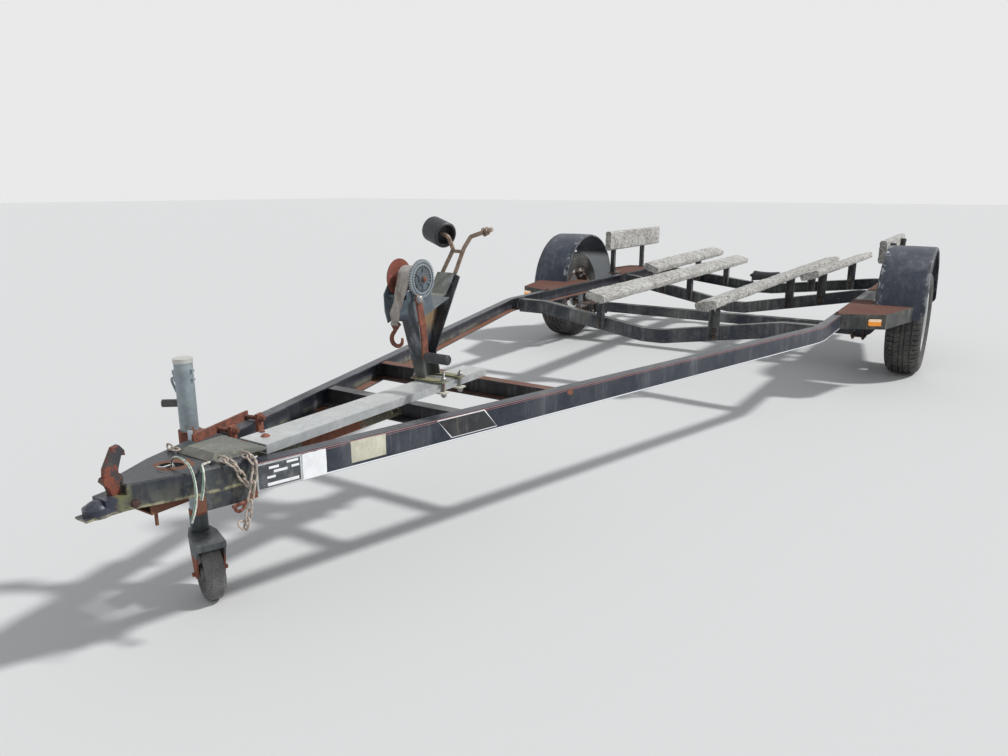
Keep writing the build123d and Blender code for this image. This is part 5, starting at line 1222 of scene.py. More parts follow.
def make_tyre(side):
    """Tyre with bead and sidewall rings, grooved ribs and slotted shoulders."""
    half = TYRE_SIDE + TYRE_CROWN
    line = half + tuple((-x, radius, depth) for x, radius, depth in reversed(half))
    shape = bmesh.new()
    wobble = random.Random(7)
    wear = [wobble.uniform(-TREAD_WEAR, TREAD_WEAR) for _ in range(TREAD_PITCHES)]
    rings = []
    for index, (x, radius, depth) in enumerate(line):
        ring = []
        slant = SLANT if index % 2 and depth < SHALLOW_SLOT else 0.0
        stagger = 0.5 if x < 0 else 0.0
        for pitch in range(TREAD_PITCHES):
            for share, cut in PITCH_STEPS:
                angle = math.tau * (pitch + share + stagger + slant) / TREAD_PITCHES
                r = radius - depth * cut
                if radius > TREAD_FROM:
                    r += wear[pitch]
                y = AXLE_Y + r * math.cos(angle)
                z = WHEEL_Z + r * math.sin(angle)
                spot = (side * (WHEEL_X + x), y, z)
                ring.append(shape.verts.new(spot))
        rings.append(ring)
    join_all(shape, rings, closed=True)
    hand = hand_of(side)
    piece(shape, "tyre_tread_" + hand, tyre_rubber, hand + "_wheel", 30.0, ("tyre_" + hand,))


def make_wheel_fittings(side):
    """Lug nuts on their studs, grease cap and valve."""
    hand = hand_of(side)
    out = Vector((side, 0, 0))
    hub = Vector((side * WHEEL_X, AXLE_Y, WHEEL_Z))
    shape = bmesh.new()
    for index in range(LUG_COUNT):
        angle = math.tau * index / LUG_COUNT + LUG_TURN
        spot = hub + out * 0.0219 + spoke(angle) * LUG_CIRCLE
        stud_nut(shape, spot, out, 0.019, 0.021, 0.0120, 0.021, angle)
    turned(shape, GREASE_CAP, place_along(hub, out), 36)
    piece(shape, "lug_nuts_" + hand, rust_dark, hand + "_wheel")
    shape = bmesh.new()
    root = hub + out * 0.030 + spoke(VALVE_TURN) * VALVE_CIRCLE
    lean = (out * 0.9 - spoke(VALVE_TURN) * 0.45).normalized()
    turned(shape, VALVE_STEM, place_along(root, lean), 16)
    piece(shape, "valve_" + hand, black_plastic, hand + "_wheel")


for side in (1, -1):
    make_tyre(side)
    make_wheel_fittings(side)


# Fenders

FENDER_IN = 1.002
FENDER_OUT = 1.264
FENDER_CORNER = 0.056
FENDER_STEPS = 96
INNER_ROLL = 0.010
SHOULDER = 0.016
SHEET = 0.0026
DENT_DEPTH = 0.0009


def fender_end(x):
    """Height that the outer corner of a fender's end is cut to at this distance across."""
    reach = x - (FENDER_OUT - FENDER_CORNER)
    if reach <= 0.0:
        return 0.0
    return FENDER_CORNER - math.sqrt(max(0.0, FENDER_CORNER ** 2 - reach ** 2))


def fender_profile():
    """Distance across and radius, over the outside, round the rolled edges and back inside."""
    outer = [(FENDER_IN + 0.0006, FENDER_R - 0.0150), (FENDER_IN, FENDER_R - 0.0125)]
    for step in range(5):
        angle = math.pi / 2 * step / 4
        x = FENDER_IN + INNER_ROLL * (1 - math.cos(angle))
        outer.append((x, FENDER_R - 0.0120 + INNER_ROLL * math.sin(angle)))
    flat = FENDER_OUT - FENDER_IN - INNER_ROLL - SHOULDER
    for step in range(1, 12):
        share = step / 12
        rise = 0.0018 * math.sin(math.pi * share)
        outer.append((FENDER_IN + INNER_ROLL + flat * share, FENDER_R - 0.002 + rise))
    for step in range(7):
        angle = math.pi / 2 * step / 6
        x = FENDER_OUT - SHOULDER + SHOULDER * math.sin(angle)
        outer.append((x, FENDER_R - 0.018 + SHOULDER * math.cos(angle)))
    lip = ((0.0, 0.0205), (0.0012, 0.0232), (0.0040, 0.0240), (0.0064, 0.0222))
    rolled = [(FENDER_OUT - inward, FENDER_R - down) for inward, down in lip]
    inner = []
    for x, radius in reversed(outer[2:]):
        inner.append((min(max(x, FENDER_IN + 0.0024), FENDER_OUT - 0.0030), radius - SHEET))
    inner.append((FENDER_IN + 0.0030, FENDER_R - 0.0150))
    return outer + rolled + inner


def make_fender(side):
    """Rolled steel fender with rounded shoulders, its outer corners swept up."""
    hand = hand_of(side)
    profile = fender_profile()
    shape = bmesh.new()
    rings = []
    dent = Vector((11.0, 3.0, 5.0)) * side
    for step in range(FENDER_STEPS + 1):
        ring = []
        for x, radius in profile:
            low = math.asin(min(0.999, fender_end(x) / FENDER_R))
            angle = low + (math.pi - 2 * low) * step / FENDER_STEPS
            wave = DENT_DEPTH * noise.noise(Vector((x * 9.0, angle * 3.0, 1.0)) + dent)
            r = min(radius + wave, FENDER_R)
            spot = (side * x, FENDER_Y - r * math.cos(angle), FENDER_Z + r * math.sin(angle))
            ring.append(shape.verts.new(spot))
        rings.append(ring)
    join_all(shape, rings)
    close_fold(shape, rings)
    piece(shape, "fender_shell_" + hand, paint_fender, "frame", 50.0, ("fender_" + hand,))


for side in (1, -1):
    make_fender(side)


# Carpeted bunks and guide boards

CARPET_RUN = 0.0085
BOARD_CORNER = 0.014
# rings of the fold over a board's end, and over how many a bunk's front end droops
FOLD_RINGS = 4
DROOP_RINGS = 12
DROOP = 0.0022
LAP = 0.0016
TATTERS = 7
# front point, rear point, roll, width, thickness; distances ahead of the axle
BOARDS = {
    "bunk_inner_left": ((0.312, 1.250, 0.496), (0.405, -1.650, 0.520), -10.0, 0.118, 0.046),
    "bunk_inner_right": ((-0.332, 1.250, 0.492), (-0.330, -1.640, 0.492), 16.0, 0.118, 0.046),
    "bunk_outer_left": ((0.545, -0.110, 0.540), (0.650, -1.6458, 0.562), -16.0, 0.118, 0.046),
    "bunk_outer_right": ((-0.552, -0.110, 0.530), (-0.552, -1.640, 0.552), 20.0, 0.118, 0.046),
    "guide_board_left": ((0.947, -0.215, 0.701), (0.947, -1.190, 0.701), 0.0, 0.044, 0.142),
    "guide_board_right": ((-0.947, -0.215, 0.701), (-0.947, -1.190, 0.701), 0.0, 0.044, 0.142),
}


def board_section(width, thick):
    """Points round a board's section and which way is out at each."""
    points = []
    for sx, sz, start in ((1, -1, -90), (1, 1, 0), (-1, 1, 90), (-1, -1, 180)):
        centre = (sx * (width / 2 - BOARD_CORNER), sz * (thick / 2 - BOARD_CORNER))
        for step in range(5):
            angle = math.radians(start + 90 * step / 4)
            out = (math.cos(angle), math.sin(angle))
            spot = (centre[0] + BOARD_CORNER * out[0], centre[1] + BOARD_CORNER * out[1])
            points.append((spot, out))
    filled = []
    for index, (spot, out) in enumerate(points):
        after = points[(index + 1) % len(points)][0]
        filled.append((spot, out))
        extra = int(math.dist(spot, after) / CARPET_RUN)
        for step in range(1, extra + 1):
            share = step / (extra + 1)
            between = (spot[0] + (after[0] - spot[0]) * share, spot[1] + (after[1] - spot[1]) * share)
            filled.append((between, out))
    return filled


def carpet_lift(spot, seed):
    """How far the carpet stands off its board at a place: lumps, worn hollows and loose pile."""
    seeded = spot + Vector((seed, 0, 0))
    broad = noise.noise(seeded * 9.0)
    lump = noise.noise(seeded * 48.0)
    pile = noise.noise(seeded * 130.0)
    return 0.0022 * broad + 0.0026 * lump + 0.0014 * pile


def board_ways(front, rear, roll):
    """A board's front point, its length, and the ways along, across and up from it."""
    start = Vector((front[0], ahead(front[1]), front[2]))
    run = Vector((rear[0], ahead(rear[1]), rear[2])) - start
    way = run.normalized()
    wide = Vector((math.cos(math.radians(roll)), 0, -math.sin(math.radians(roll))))
    high = wide.cross(way)
    if high.z < 0:
        high = -high
    return start, run.length, way, wide, high


def make_board(name, ways, width, thick, seed):
    """Board wrapped in matted carpet, folded over its ends and lapped underneath."""
    start, length, way, wide, high = ways
    is_bunk = name.startswith("bunk")
    section = board_section(width - 0.001, thick - 0.001)
    steps = int(length / CARPET_RUN)
    shape = bmesh.new()
    rings = []
    for step in range(-FOLD_RINGS, steps + FOLD_RINGS + 1):
        over = max(-step, step - steps, 0)
        pull = 1.0 - 0.20 * (over / FOLD_RINGS) ** 2 if over < FOLD_RINGS else 0.55
        fold = 0.0035 - 0.0009 * (FOLD_RINGS - over)
        if step < 0:
            along = fold
        elif step > steps:
            along = length - fold
        else:
            along = length * (step / steps)
        centre = start + way * along
        if is_bunk and step < DROOP_RINGS:
            centre = centre - high * DROOP * (1 - max(step, 0) / DROOP_RINGS)
        ring = []
        for (u, v), out in section:
            spot = centre + wide * u * pull + high * v * pull
            lift = carpet_lift(spot, seed) * (1.0 if over == 0 else 0.5)
            if is_bunk and v < -thick / 2 + 0.002 and 0.0 < u < 0.022:
                lift += LAP
            ring.append(shape.verts.new(spot + (wide * out[0] + high * out[1]) * lift))
        rings.append(ring)
    join_all(shape, rings)
    for ring, order in ((rings[0], -1), (rings[-1], 1)):
        middle = shape.verts.new(sum((v.co for v in ring), Vector()) / len(ring))
        for index in range(len(ring)):
            shape.faces.new((ring[index], ring[(index + 1) % len(ring)], middle)[::order])
    wrapped = name.replace("bunk", "carpet").replace("guide", "carpet_guide")
    piece(shape, wrapped, bunk_carpet, "frame", 80.0, (name,))


def make_tatters(name, ways, width, thick, seed):
    """Frayed tongues of carpet that hang from a bunk's front end."""
    start, _, way, wide, high = ways
    loose = random.Random(seed)
    shape = bmesh.new()
    for _ in range(TATTERS):
        u = (loose.random() - 0.5) * width * 0.86
        root = start + way * (0.004 + 0.010 * loose.random()) + wide * u - high * (thick / 2 - 0.0035)
        drop = 0.006 + 0.014 * loose.random()
        half = 0.0028 + 0.0035 * loose.random()
        spots = [
            root, root - high * drop * 0.5 + way * 0.002, root - high * drop + way * 0.005 * loose.random(),
        ]
        line = smooth_line(spots, 4)
        rings = []
        for step, spot in enumerate(line):
            share = step / (len(line) - 1)
            w = half * (1.0 - 0.6 * share)
            t = 0.0014 * (1.0 - 0.4 * share)
            corners = ((-w, -t), (w, -t), (w, t), (-w, t))
            rings.append([shape.verts.new(spot + wide * a + way * b) for a, b in corners])
        join_all(shape, rings)
        shape.faces.new(rings[0][::-1])
        shape.faces.new(rings[-1])
    piece(shape, name.replace("bunk", "tatters"), bunk_carpet, "frame", 60.0)


for seed, (name, (front, rear, roll, width, thick)) in enumerate(BOARDS.items()):
    ways = board_ways(front, rear, roll)
    make_board(name, ways, width, thick, 3.7 * seed + 1.0)
    if name.startswith("bunk"):
        make_tatters(name, ways, width, thick, seed + 20)


# Blank plates on the left rail, by distance along it from where the sleeve ends and by height

RAIL_NOSE = Vector((RAIL_NOSE_HALF, ahead(RAIL_NOSE_AHEAD), 0))
RAIL_WAY = (Vector((RAIL_HALF, ahead(RAIL_BEND_AHEAD), 0)) - RAIL_NOSE).normalized()
RAIL_OUT = Vector((RAIL_WAY.y, -RAIL_WAY.x, 0))
PLATE_ORIGIN = Vector((0.1237, ahead(4.0238), 0))
# opposite corners of the data plate, of its dark field and of the blank strips on that
DATA_PLATE = (0.001, 0.3680, 0.122, 0.4392)
DATA_FIELD = (0.006, 0.3735, 0.117, 0.4345)
DATA_STRIPS = (
    (0.034, 0.4205, 0.060, 0.4268), (0.081, 0.4258, 0.112, 0.4322), (0.046, 0.4090, 0.082, 0.4155),
    (0.093, 0.4120, 0.114, 0.4180), (0.028, 0.3965, 0.050, 0.4025), (0.028, 0.3770, 0.112, 0.3850),
)
STICKERS = {
    "white_sticker": (sticker_white, (
        (0.1235, 0.3690), (0.1560, 0.3684), (0.1900, 0.3690), (0.1908, 0.4050), (0.1902, 0.4382),
        (0.1720, 0.4390),
        (0.1600, 0.4375), (0.1440, 0.4388), (0.1240, 0.4372), (0.1228, 0.4050),
    )),
    "cream_sticker": (sticker_cream, (
        (0.2640, 0.3800), (0.3190, 0.3796), (0.3720, 0.3802), (0.3724, 0.4390), (0.3200, 0.4400),
        (0.2636, 0.4396),
    )),
}
BADGE = ((0.5980, 0.3772), (0.7760, 0.3772), (0.7260, 0.4398), (0.5480, 0.4398))
BADGE_BORDER = 0.0026


def upright_place(way, out, origin):
    """Place on an upright face: X along it, Y up, Z off the face."""
    return Matrix(
        ((way.x, 0, out.x, origin.x), (way.y, 0, out.y, origin.y), (0, 1, 0, origin.z), (0, 0, 0, 1))
    )


def inset_outline(outline, distance):
    """The same outline drawn in towards its middle by a distance."""
    cx = sum(x for x, _ in outline) / len(outline)
    cy = sum(y for _, y in outline) / len(outline)
    return [(x - math.copysign(distance, x - cx), y - math.copysign(distance, y - cy)) for x, y in outline]


def oblong(shape, corners, place, thick, edge, slot):
    """Flat plate between two opposite corners."""
    x0, y0, x1, y1 = corners
    panel(shape, [(x0, y0), (x1, y0), (x1, y1), (x0, y1)], place, thick, edge, slot)


def make_plates():
    """Data plate, two stickers and the badge, all of them blank."""
    on_rail = upright_place(RAIL_WAY, RAIL_OUT, PLATE_ORIGIN)
    over = on_rail @ Matrix.Translation((0, 0, 0.0006))
    shape = bmesh.new()
    oblong(shape, DATA_PLATE, on_rail, 0.0008, 0.0003, 0)
    oblong(shape, DATA_FIELD, over, 0.0004, 0.0001, 1)
    for strip in DATA_STRIPS:
        oblong(shape, strip, over @ Matrix.Translation((0, 0, 0.0003)), 0.0003, 0.0, 2)
    for x in (0.0035, 0.1195):
        for z in (0.3708, 0.4366):
            dome_head(shape, on_rail @ Vector((x, z, 0.0007)), RAIL_OUT, 0.0042, 0.0012)
    piece(shape, "data_plate", [plate_metal, plate_dark, sticker_white], "frame")
    for name, (finish, outline) in STICKERS.items():
        shape = bmesh.new()
        panel(shape, outline, on_rail, 0.0005, 0.0001)
        piece(shape, name, finish, "frame")
    shape = bmesh.new()
    panel(shape, BADGE, on_rail, 0.0008, 0.0002)
    panel(shape, inset_outline(BADGE, BADGE_BORDER), over, 0.0005, 0.0001, 1)
    piece(shape, "rail_badge", [sticker_white, badge_black], "frame")


make_plates()


# Chains

LINK_LENGTH = 0.034
LINK_WIDTH = 0.020
LINK_WIRE = 0.005
LINK_PITCH = 0.0231
LINK_WELD = 1.10
RAIL_SLOPE = (RAIL_HALF - RAIL_NOSE_HALF) / (RAIL_NOSE_AHEAD - RAIL_BEND_AHEAD)
SLEEVE_LIFT = 0.0053 / math.cos(math.atan(RAIL_SLOPE))
# points outside the coupler's sleeve, distance ahead and height
CHAINS = {
    "safety_chain_front": (
        (-0.026, 4.096, 0.4703), (0.004, 4.092, 0.4709), (0.014, 4.086, 0.463), (0.0128, 4.074, 0.438),
        (0.0128, 4.060, 0.408), (0.0128, 4.046, 0.378),
    ),
    "safety_chain_rear": (
        (-0.020, 4.046, 0.4704), (0.005, 4.044, 0.4715), (0.018, 4.041, 0.465), (0.024, 4.042, 0.444),
        (0.035, 4.058, 0.408), (0.035, 4.067, 0.372), (0.035, 4.074, 0.336), (0.035, 4.082, 0.302),
        (0.035, 4.096, 0.316), (0.035, 4.098, 0.346),
    ),
}
# the front chain's other end: distance across, distance ahead and height
FAR_LINKS = ((-0.101, 4.106, 0.4703), (-0.030, 4.114, 0.4703))


def sleeve_side(distance):
    """Half width over the coupler's sleeve at this distance ahead."""
    return RAIL_HALF - (distance - RAIL_BEND_AHEAD) * RAIL_SLOPE + SLEEVE_LIFT


def chain_spot(spots, spans, distance):
    """Place on a chain's line at this distance from its start."""
    for start, end, span in zip(spots, spots[1:], spans):
        if distance <= span:
            return start + (end - start) * (distance / span)
        distance -= span
    return spots[-1]


def make_link(shape, centre, way, wide):
    """One welded link of round wire, its weld a little thicker on one side."""
    bend = (LINK_WIDTH - LINK_WIRE) / 2
    straight = (LINK_LENGTH - LINK_WIRE) / 2 - bend
    spots, radii = [], []
    for side in (1, -1):
        swell = LINK_WELD if side > 0 else 1.0
        for step in range(9):
            angle = math.pi * (step / 8 - 0.5)
            arc = way * (straight + bend * math.cos(angle)) + wide * bend * math.sin(angle)
            spots.append(centre + side * arc)
            radii.append(LINK_WIRE / 2 * (swell if step == 8 else 1.0))
        spots.append(centre + side * wide * bend)
        radii.append(LINK_WIRE / 2 * swell)
    swept(shape, spots, radii, 10, closed=True, hint=way.cross(wide))


def make_chain(name, runs):
    """Links along each run, every second one turned on its side."""
    shape = bmesh.new()
    for points in runs:
        spots = [Vector((x, ahead(distance), z)) for x, distance, z in points]
        spans = [(b - a).length for a, b in zip(spots, spots[1:])]
        count = int((sum(spans) - LINK_LENGTH) / LINK_PITCH) + 1
        for index in range(count):
            place = LINK_LENGTH / 2 + index * LINK_PITCH
            front, rear = [chain_spot(spots, spans, place + half * LINK_PITCH / 2) for half in (-1, 1)]
            way = (rear - front).normalized()
            across_way = way.cross(REAR).normalized()
            wide = way.cross(across_way).normalized() if index % 2 else across_way
            make_link(shape, (front + rear) * 0.5, way, wide)
    piece(shape, name + "_links", rust_chain, "frame", 60.0, (name,))


for chain, points in CHAINS.items():
    runs = [[(sleeve_side(distance) + out, distance, z) for out, distance, z in points]]
    if chain == "safety_chain_front":
        runs.append(FAR_LINKS)
    make_chain(chain, runs)


# Winch: strap, hook, shaft ends and crank bolt

SPRING_X = 0.0585
SPRING_Y = ahead(3.3465)
COIL_TURNS = 8
COIL_STEPS = 12
STRAP_TURNS = 6
STRAP_LEFT = 0.0205
STRAP_RIGHT = 0.0675
STRAP_WANDER = 0.0022
# height, left edge, right edge, forward shift
STRAP_TAIL = (
    (0.8200, 0.0200, 0.0680, 0.0000), (0.7990, 0.0186, 0.0655, 0.0060), (0.7780, 0.0170, 0.0620, 0.0120),
    (0.7610, 0.0145, 0.0560, 0.0128), (0.7450, 0.0120, 0.0500, 0.0130), (0.7290, 0.0020, 0.0415, 0.0105),
    (0.7135, -0.0080, 0.0330, 0.0080), (0.6975, -0.0066, 0.0280, 0.0055), (0.6835, -0.0052, 0.0232, 0.0036),
)
TAIL_FALL = 0.138
TAIL_COLUMNS = 14
HOOK_X = 0.009
HOOK_TOP = 0.6777
HOOK_Y = GEAR_Y - 0.041
# distance across and height along the ring, then distance across and drop along the hook
HOOK_RING = (
    (-0.017, 0.0), (0.017, 0.0), (0.0150, -0.003), (0.0062, -0.014), (-0.0062, -0.014), (-0.0150, -0.003),
    (-0.017, 0.0),
)
HOOK_LINE = (
    (0.0, 0.010), (0.0, 0.016), (-0.0040, 0.023), (-0.0140, 0.036), (-0.0172, 0.050), (-0.0120, 0.0625),
    (0.0, 0.0690), (0.0120, 0.0690), (0.0225, 0.0620), (0.0262, 0.052), (0.0255, 0.0420),
)


def wind_strap(shape):
    """Layers on the drum, each a little out of line with the last."""
    wobble = random.Random(11)
    for turn in range(STRAP_TURNS):
        inner = 0.0224 + turn * 0.0029
        outer = inner + 0.0026
        left = STRAP_LEFT + wobble.uniform(0.0, STRAP_WANDER)
        width = STRAP_RIGHT - wobble.uniform(0.0, STRAP_WANDER) - left
        profile = (
            (0, inner), (0, outer - 0.0006), (0.0006, outer), (width / 2, outer - 0.0004),
            (width - 0.0006, outer),
            (width, outer - 0.0006), (width, inner),
        )
        turned(shape, profile, place_along((left, GEAR_Y, GEAR_Z), SIDE), 48, closed=True)


def hang_tail(shape):
    """Creased tail from the drum down to the ring, gathered on the way."""
    rings = []
    for section, after in zip(STRAP_TAIL, STRAP_TAIL[1:] + STRAP_TAIL[-1:]):
        for part in ((0.0, 0.34, 0.67) if section is not after else (0.0,)):
            height, a, b, out = [here + (there - here) * part for here, there in zip(section, after)]
            front, back = [], []
            fall = (GEAR_Z - height) / TAIL_FALL
            for column in range(TAIL_COLUMNS + 1):
                share = column / TAIL_COLUMNS
                fold = math.sin(share * 8.2 + fall * 5.0) * 0.0017 * min(1.0, fall * 2.2)
                fold += 0.0012 * noise.noise(Vector((share * 3.0, fall * 9.0, 4.0))) * min(1.0, fall * 3.0)
                y = GEAR_Y - 0.0385 - out + fold
                half = 0.0004 if column in (0, TAIL_COLUMNS) else 0.0012
                x = a + (b - a) * share
                front.append(shape.verts.new((x, y - half, height)))
                back.append(shape.verts.new((x, y + half, height)))
            rings.append(front + back[::-1])
    join_all(shape, rings)
    close_fold(shape, rings)


def make_strap():
    """Webbing in worn layers on the drum, its creased tail sewn round the hook's ring."""
    shape = bmesh.new()
    wind_strap(shape)
    hang_tail(shape)
    loop = place_along((-0.0055, HOOK_Y, HOOK_TOP), SIDE)
    turned(shape, [(0, 0.0045), (0, 0.0066), (0.0290, 0.0066), (0.0290, 0.0045)], loop, 20, closed=True)
    piece(shape, "strap_wound", strap_webbing, "frame", 35.0, ("winch_strap",))


def make_hook():
    """Wire ring and a forged hook with a swollen bow and a blunt point."""
    shape = bmesh.new()
    ring = smooth_line([Vector((HOOK_X + x, HOOK_Y, HOOK_TOP + z)) for x, z in HOOK_RING], 5)[:-1]
    swept(shape, ring, 0.0035, 10, closed=True, hint=REAR)
    spots = smooth_line([Vector((HOOK_X + x, HOOK_Y, HOOK_TOP - drop)) for x, drop in HOOK_LINE], 4)
    radii = []
    for index in range(len(spots)):
        share = index / (len(spots) - 1)
        swell = 0.0046 + 0.0024 * math.sin(math.pi * min(1.0, share / 0.88)) ** 0.7
        radii.append(swell * (1.0 if share < 0.93 else 1.0 - 5.0 * (share - 0.93)))
    swept(shape, spots, radii, 16, hint=REAR)
    eye = place_along((HOOK_X, HOOK_Y - 0.0046, HOOK_TOP - 0.0125), REAR)
    turned(
        shape, [(0, 0.0), (0, 0.0078), (0.0016, 0.0090), (0.0076, 0.0090), (0.0092, 0.0078), (0.0092, 0.0)],
        eye, 20,
    )
    piece(shape, "hook_forged", rust_hook, "frame", 50.0, ("winch_hook",))


def make_winch_trim():
    """Shaft nuts, the crank's bolt and the ratchet's spring on its pin."""
    shape = bmesh.new()
    pinion = Vector((0.1040, GEAR_Y - 0.038, 0.763))
    hex_head(shape, pinion, SIDE, 0.019, 0.0075, 0.026, 0.0022, 0.3)
    dome_head(shape, pinion + SIDE * 0.0097, SIDE, 0.010, 0.0020)
    piece(shape, "crank_nut", zinc_bolt, "frame")
    shape = bmesh.new()
    hex_head(shape, (0.0932, GEAR_Y, GEAR_Z), SIDE, 0.0155, 0.0060, 0.0200, 0.0020, 0.1)
    dome_head(shape, (0.1008, GEAR_Y, GEAR_Z), SIDE, 0.010, 0.0030)
    piece(shape, "gear_nut", rust_hook, "frame")
    shape = bmesh.new()
    coil = []
    for step in range(COIL_TURNS * COIL_STEPS + 1):
        angle = math.tau * step / COIL_STEPS
        x = SPRING_X + 0.0062 * math.cos(angle)
        y = SPRING_Y + 0.0062 * math.sin(angle)
        coil.append(Vector((x, y, 0.706 + 0.0052 * step / COIL_STEPS)))
    swept(shape, coil, 0.0016, 7)
    pin = place_along((SPRING_X, SPRING_Y, 0.696), UP)
    turned(shape, [(0, 0.0), (0, 0.0046), (0.006, 0.0050), (0.060, 0.0044), (0.062, 0.0)], pin, 12)
    piece(shape, "ratchet_spring", rust_dark, "frame", 60.0)


make_strap()
make_hook()
make_winch_trim()


# Fasteners

FRONT = Vector((0, -1, 0))
CROSS_FLOOR = 0.060
CROSS_HIGH = 0.395
# each cross member's front, its floor's height, where its slopes end, and its brackets' distances across
CROSS_BRACKETS = (
    (1.200, 0.296, 0.690, (0.352, -0.314)),
    (-0.400, 0.252, 0.820, (0.372, -0.352, 0.578, -0.560)),
    (-1.180, 0.306, 0.800, (0.360, -0.318, 0.640, -0.560)),
)


def make_bolts():
    """Bolts of the brackets, posts, steps and roller, most of them rusty."""
    shape = bmesh.new()
    angle = random.Random(3)
    for front, floor_z, slope_half, places in CROSS_BRACKETS:
        for x in places:
            share = min(max((abs(x) - CROSS_FLOOR) / (slope_half - CROSS_FLOOR), 0.0), 1.0)
            centre = floor_z + (CROSS_HIGH - floor_z) * share
            for lift in (-0.017, 0.019):
                spot = Vector((x, ahead(front) - 0.0054, centre + lift))
                stud_nut(shape, spot, FRONT, 0.017, 0.018, 0.009, 0.024, angle.uniform(0, 1))
    for side in (1, -1):
        for distance in (-0.395, -0.965):
            for z in (0.662, 0.738):
                dome_head(shape, Vector((side * 0.9994, ahead(distance), z)), SIDE * side, 0.018, 0.0045)
    piece(shape, "bracket_bolts", rust_dark, "frame")
    shape = bmesh.new()
    for side in (1, -1):
        for distance in (0.820, -0.980):
            spot = Vector((side * 0.885, ahead(distance), 0.4473))
            hex_head(shape, spot, UP, 0.014, 0.006, 0.022, 0.0016, angle.uniform(0, 1))
        stud_nut(
            shape, Vector((side * 0.1108, 2.573, 0.402)), SIDE * side, 0.022, 0.020, 0.0150, 0.030, 0.4,
        )
    piece(shape, "frame_bolts", rust_dark, "frame")
    shape = bmesh.new()
    dome_head(shape, Vector((0.0300, ahead(3.910), 0.4646)), UP, 0.024, 0.0070)
    hex_head(shape, Vector((-0.0060, ahead(3.890), 0.4642)), UP, 0.013, 0.0050, 0.0, 0.0, 0.5)
    piece(shape, "box_bolt", rust_bright, "frame")


# the tongue box's faces, the clamps' middle across and their rods' distance from it
BOX_TOP = 0.4694
BOX_BOTTOM = 0.4384
CLAMP_X = 0.030
CLAMP_ROD = 0.0585


def make_stand_clamps():
    """Mossy clamp plates over the stand's foot, pale ones under the box, and the rods between."""
    plates, rods, under = bmesh.new(), bmesh.new(), bmesh.new()
    long = BOX_TOP - BOX_BOTTOM + 0.004
    for distance, reach in ((3.222, 0.052), (3.130, 0.030)):
        y = ahead(distance)
        block(plates, Matrix.Translation((CLAMP_X, y, BOX_TOP + 0.0026)), (0.136, 0.034, 0.005), 0.0012)
        block(under, Matrix.Translation((CLAMP_X, y, BOX_BOTTOM - 0.0034)), (0.140, 0.036, 0.006), 0.0022)
        for side in (1, -1):
            x = CLAMP_X + side * CLAMP_ROD
            high = reach if side < 0 else reach * 0.62
            stud_nut(rods, (x, y, BOX_TOP + 0.0052), UP, 0.016, high, 0.0095, 0.022, 0.3 * side)
            stem = place_along((x, y, BOX_BOTTOM - 0.004), UP)
            turned(rods, [(0, 0.0), (0, 0.0045), (long, 0.0045), (long, 0.0)], stem, 14)
            stud_nut(rods, (x, y, BOX_BOTTOM - 0.0066), -UP, 0.016, 0.014, 0.0095, 0.022, 0.5)
    piece(plates, "clamp_plates", moss_metal, "frame")
    piece(under, "clamp_plates_under", moss_pale, "frame")
    piece(rods, "clamp_rods", zinc_bolt, "frame")


make_bolts()
make_stand_clamps()


# Boss, hoop plate, jack handle and shackle

# distance off the jack tube's middle and height
HANDLE_LINE = ((0.0235, 0.607), (0.0335, 0.603), (0.0325, 0.590), (0.0240, 0.566))
SHACKLE_BOW = 0.0135


def make_front_trim():
    """Boss on the hood's side, blue plate at the jack's hoop and the folded handle on its tube."""
    shape = bmesh.new()
    slope = Vector((0.4340, 0.9009, 0.0))
    out = Vector((slope.y, -slope.x, 0.0))
    spot = Vector((0.0462, ahead(4.288), 0.418)) + out * 0.0012
    hex_head(shape, spot, out, 0.014, 0.0050, 0.022, 0.0018, 0.3)
    piece(shape, "hood_bolt", rust_dark, "frame")
    shape = bmesh.new()
    way = Vector((0.83, -0.56, 0.0)).normalized()
    place = place_along(JACK_MIDDLE + UP * 0.452 + way * 0.0330, way, math.pi / 2)
    block(shape, place, (0.034, 0.013, 0.0030), 0.0008)
    piece(shape, "hoop_plate", blue_plate, "frame")
    shape = bmesh.new()
    away = Vector((-0.84, -0.54, 0.0)).normalized()
    arm = [JACK_MIDDLE + away * reach + UP * height for reach, height in HANDLE_LINE]
    swept(shape, smooth_line(arm, 5), 0.0032, 10)
    block(shape, place_along(JACK_MIDDLE + away * 0.0250 + UP * 0.604, away), (0.012, 0.018, 0.004), 0.0010)
    piece(shape, "tube_handle", zinc_jack, "frame")


def make_shackle():
    """Bright rusty shackle under the coupler's sleeve."""
    shape = bmesh.new()
    centre = Vector((0.1215, ahead(4.0755), 0.3505))
    bow = [centre + Vector((0, SHACKLE_BOW, 0.008))]
    for step in range(13):
        angle = math.pi * step / 12
        bow.append(centre + Vector((0, SHACKLE_BOW * math.cos(angle), -0.0125 * math.sin(angle))))
    bow.append(centre + Vector((0, -SHACKLE_BOW, 0.008)))
    swept(shape, bow, 0.0042, 10, hint=SIDE)
    pin = place_along(centre + Vector((0, -0.0200, 0.0050)), REAR)
    profile = (
        (0, 0.0), (0, 0.0040), (0.004, 0.0048), (0.036, 0.0048), (0.037, 0.0078), (0.0405, 0.0078),
        (0.041, 0.0),
    )
    turned(shape, profile, pin, 14)
    piece(shape, "shackle", rust_bright, "frame", 50.0)


make_front_trim()
make_shackle()


# Lamp bases on the steps' skirts

LAMP_Z = 0.4063
# the front and the rear skirt's corners, each by distance across and ahead, and the share along them
SKIRTS = (((0.874, 0.850), (1.112, 0.735), 0.78), ((0.874, -1.120), (1.105, -1.010), 0.60))


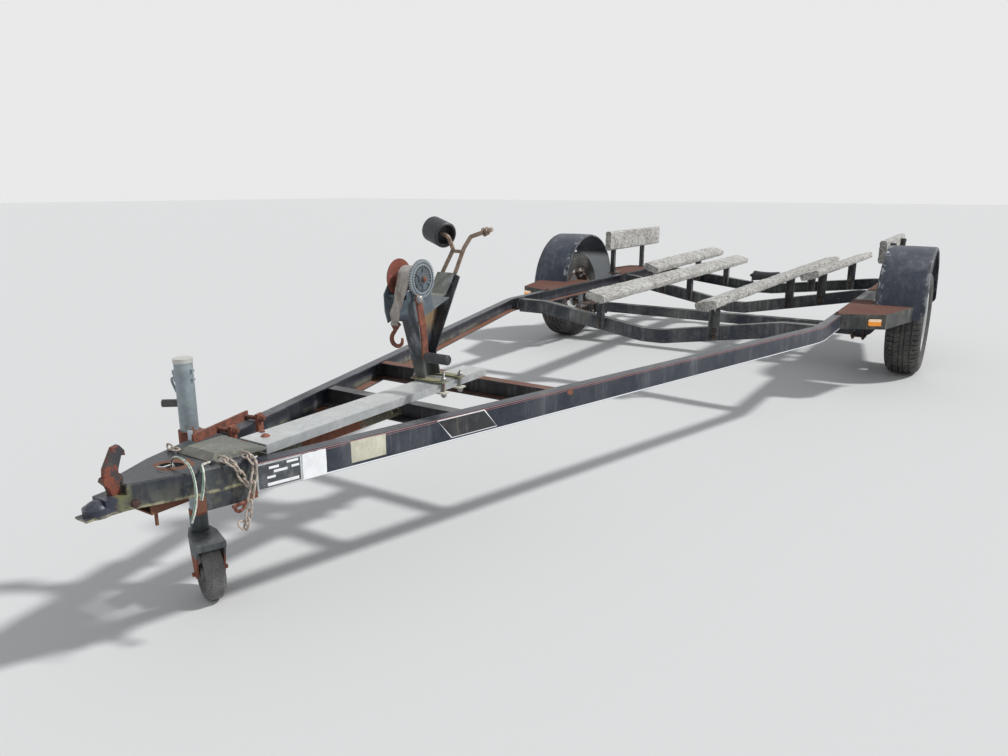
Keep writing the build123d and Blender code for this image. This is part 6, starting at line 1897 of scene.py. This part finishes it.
def make_lamp_trim(side):
    """Dark base plates behind one side's marker lamp and tail lamp."""
    shape = bmesh.new()
    for (x0, d0), (x1, d1), share in SKIRTS:
        a = Vector((side * x0, ahead(d0), LAMP_Z))
        b = Vector((side * x1, ahead(d1), LAMP_Z))
        way = (b - a).normalized()
        out = way.cross(UP)
        if (out.y > 0) == (d0 > 0):
            out = -out
        place = upright_place(way, out, a + (b - a) * share + out * 0.0025)
        block(shape, place, (0.0665, 0.0385, 0.0050), 0.0014)
    piece(shape, "lamp_bases_" + hand_of(side), black_plastic, "frame")


for side in (1, -1):
    make_lamp_trim(side)


# Light and floor

FLOOR_HALF = 60.0


def make_floor():
    """Pale floor that catches the trailer's shadow."""
    mesh = bpy.data.meshes.new("floor")
    corners = [(x * FLOOR_HALF, y * FLOOR_HALF, 0) for x, y in ((-1, -1), (1, -1), (1, 1), (-1, 1))]
    mesh.from_pydata(corners, [], [(0, 1, 2, 3)])
    floor = bpy.data.objects.new("floor", mesh)
    bpy.context.collection.objects.link(floor)
    material, _, shader = new_material("Pale floor")
    shader.inputs["Base Color"].default_value = (0.66, 0.66, 0.65, 1.0)
    shader.inputs["Roughness"].default_value = 0.9
    shader.inputs["Specular IOR Level"].default_value = 0.1
    mesh.materials.append(material)


def make_sun():
    """Weak sun, high up."""
    sun_data = bpy.data.lights.new("sun", "SUN")
    sun_data.energy = 2.7
    sun_data.angle = math.radians(5)
    sun = bpy.data.objects.new("sun", sun_data)
    sun.rotation_euler = (math.radians(42), math.radians(12), math.radians(112))
    bpy.context.collection.objects.link(sun)


def make_sky():
    """Overcast sky as the light; where it is seen, mirrored or looked through it is plain pale grey."""
    world = bpy.data.worlds.new("sky")
    bpy.context.scene.world = world
    world.use_nodes = True
    tree = Tree(world.node_tree)
    tree.tree.nodes.clear()
    lit = tree.add("ShaderNodeBackground")
    lit.inputs["Color"].default_value = (0.92, 0.95, 1.0, 1.0)
    lit.inputs["Strength"].default_value = 0.52
    seen = tree.add("ShaderNodeBackground")
    seen.inputs["Color"].default_value = (0.82, 0.82, 0.82, 1.0)
    rays = tree.add("ShaderNodeLightPath").outputs
    straight = tree.most(rays["Is Camera Ray"], rays["Is Glossy Ray"])
    straight = tree.most(straight, rays["Is Transmission Ray"])
    choose = tree.add("ShaderNodeMixShader")
    tree.link(straight, choose.inputs[0])
    tree.link(lit.outputs[0], choose.inputs[1])
    tree.link(seen.outputs[0], choose.inputs[2])
    tree.link(choose.outputs[0], tree.add("ShaderNodeOutputWorld").inputs["Surface"])


make_floor()
make_sun()
make_sky()
bpy.context.scene.view_settings.view_transform = "Standard"
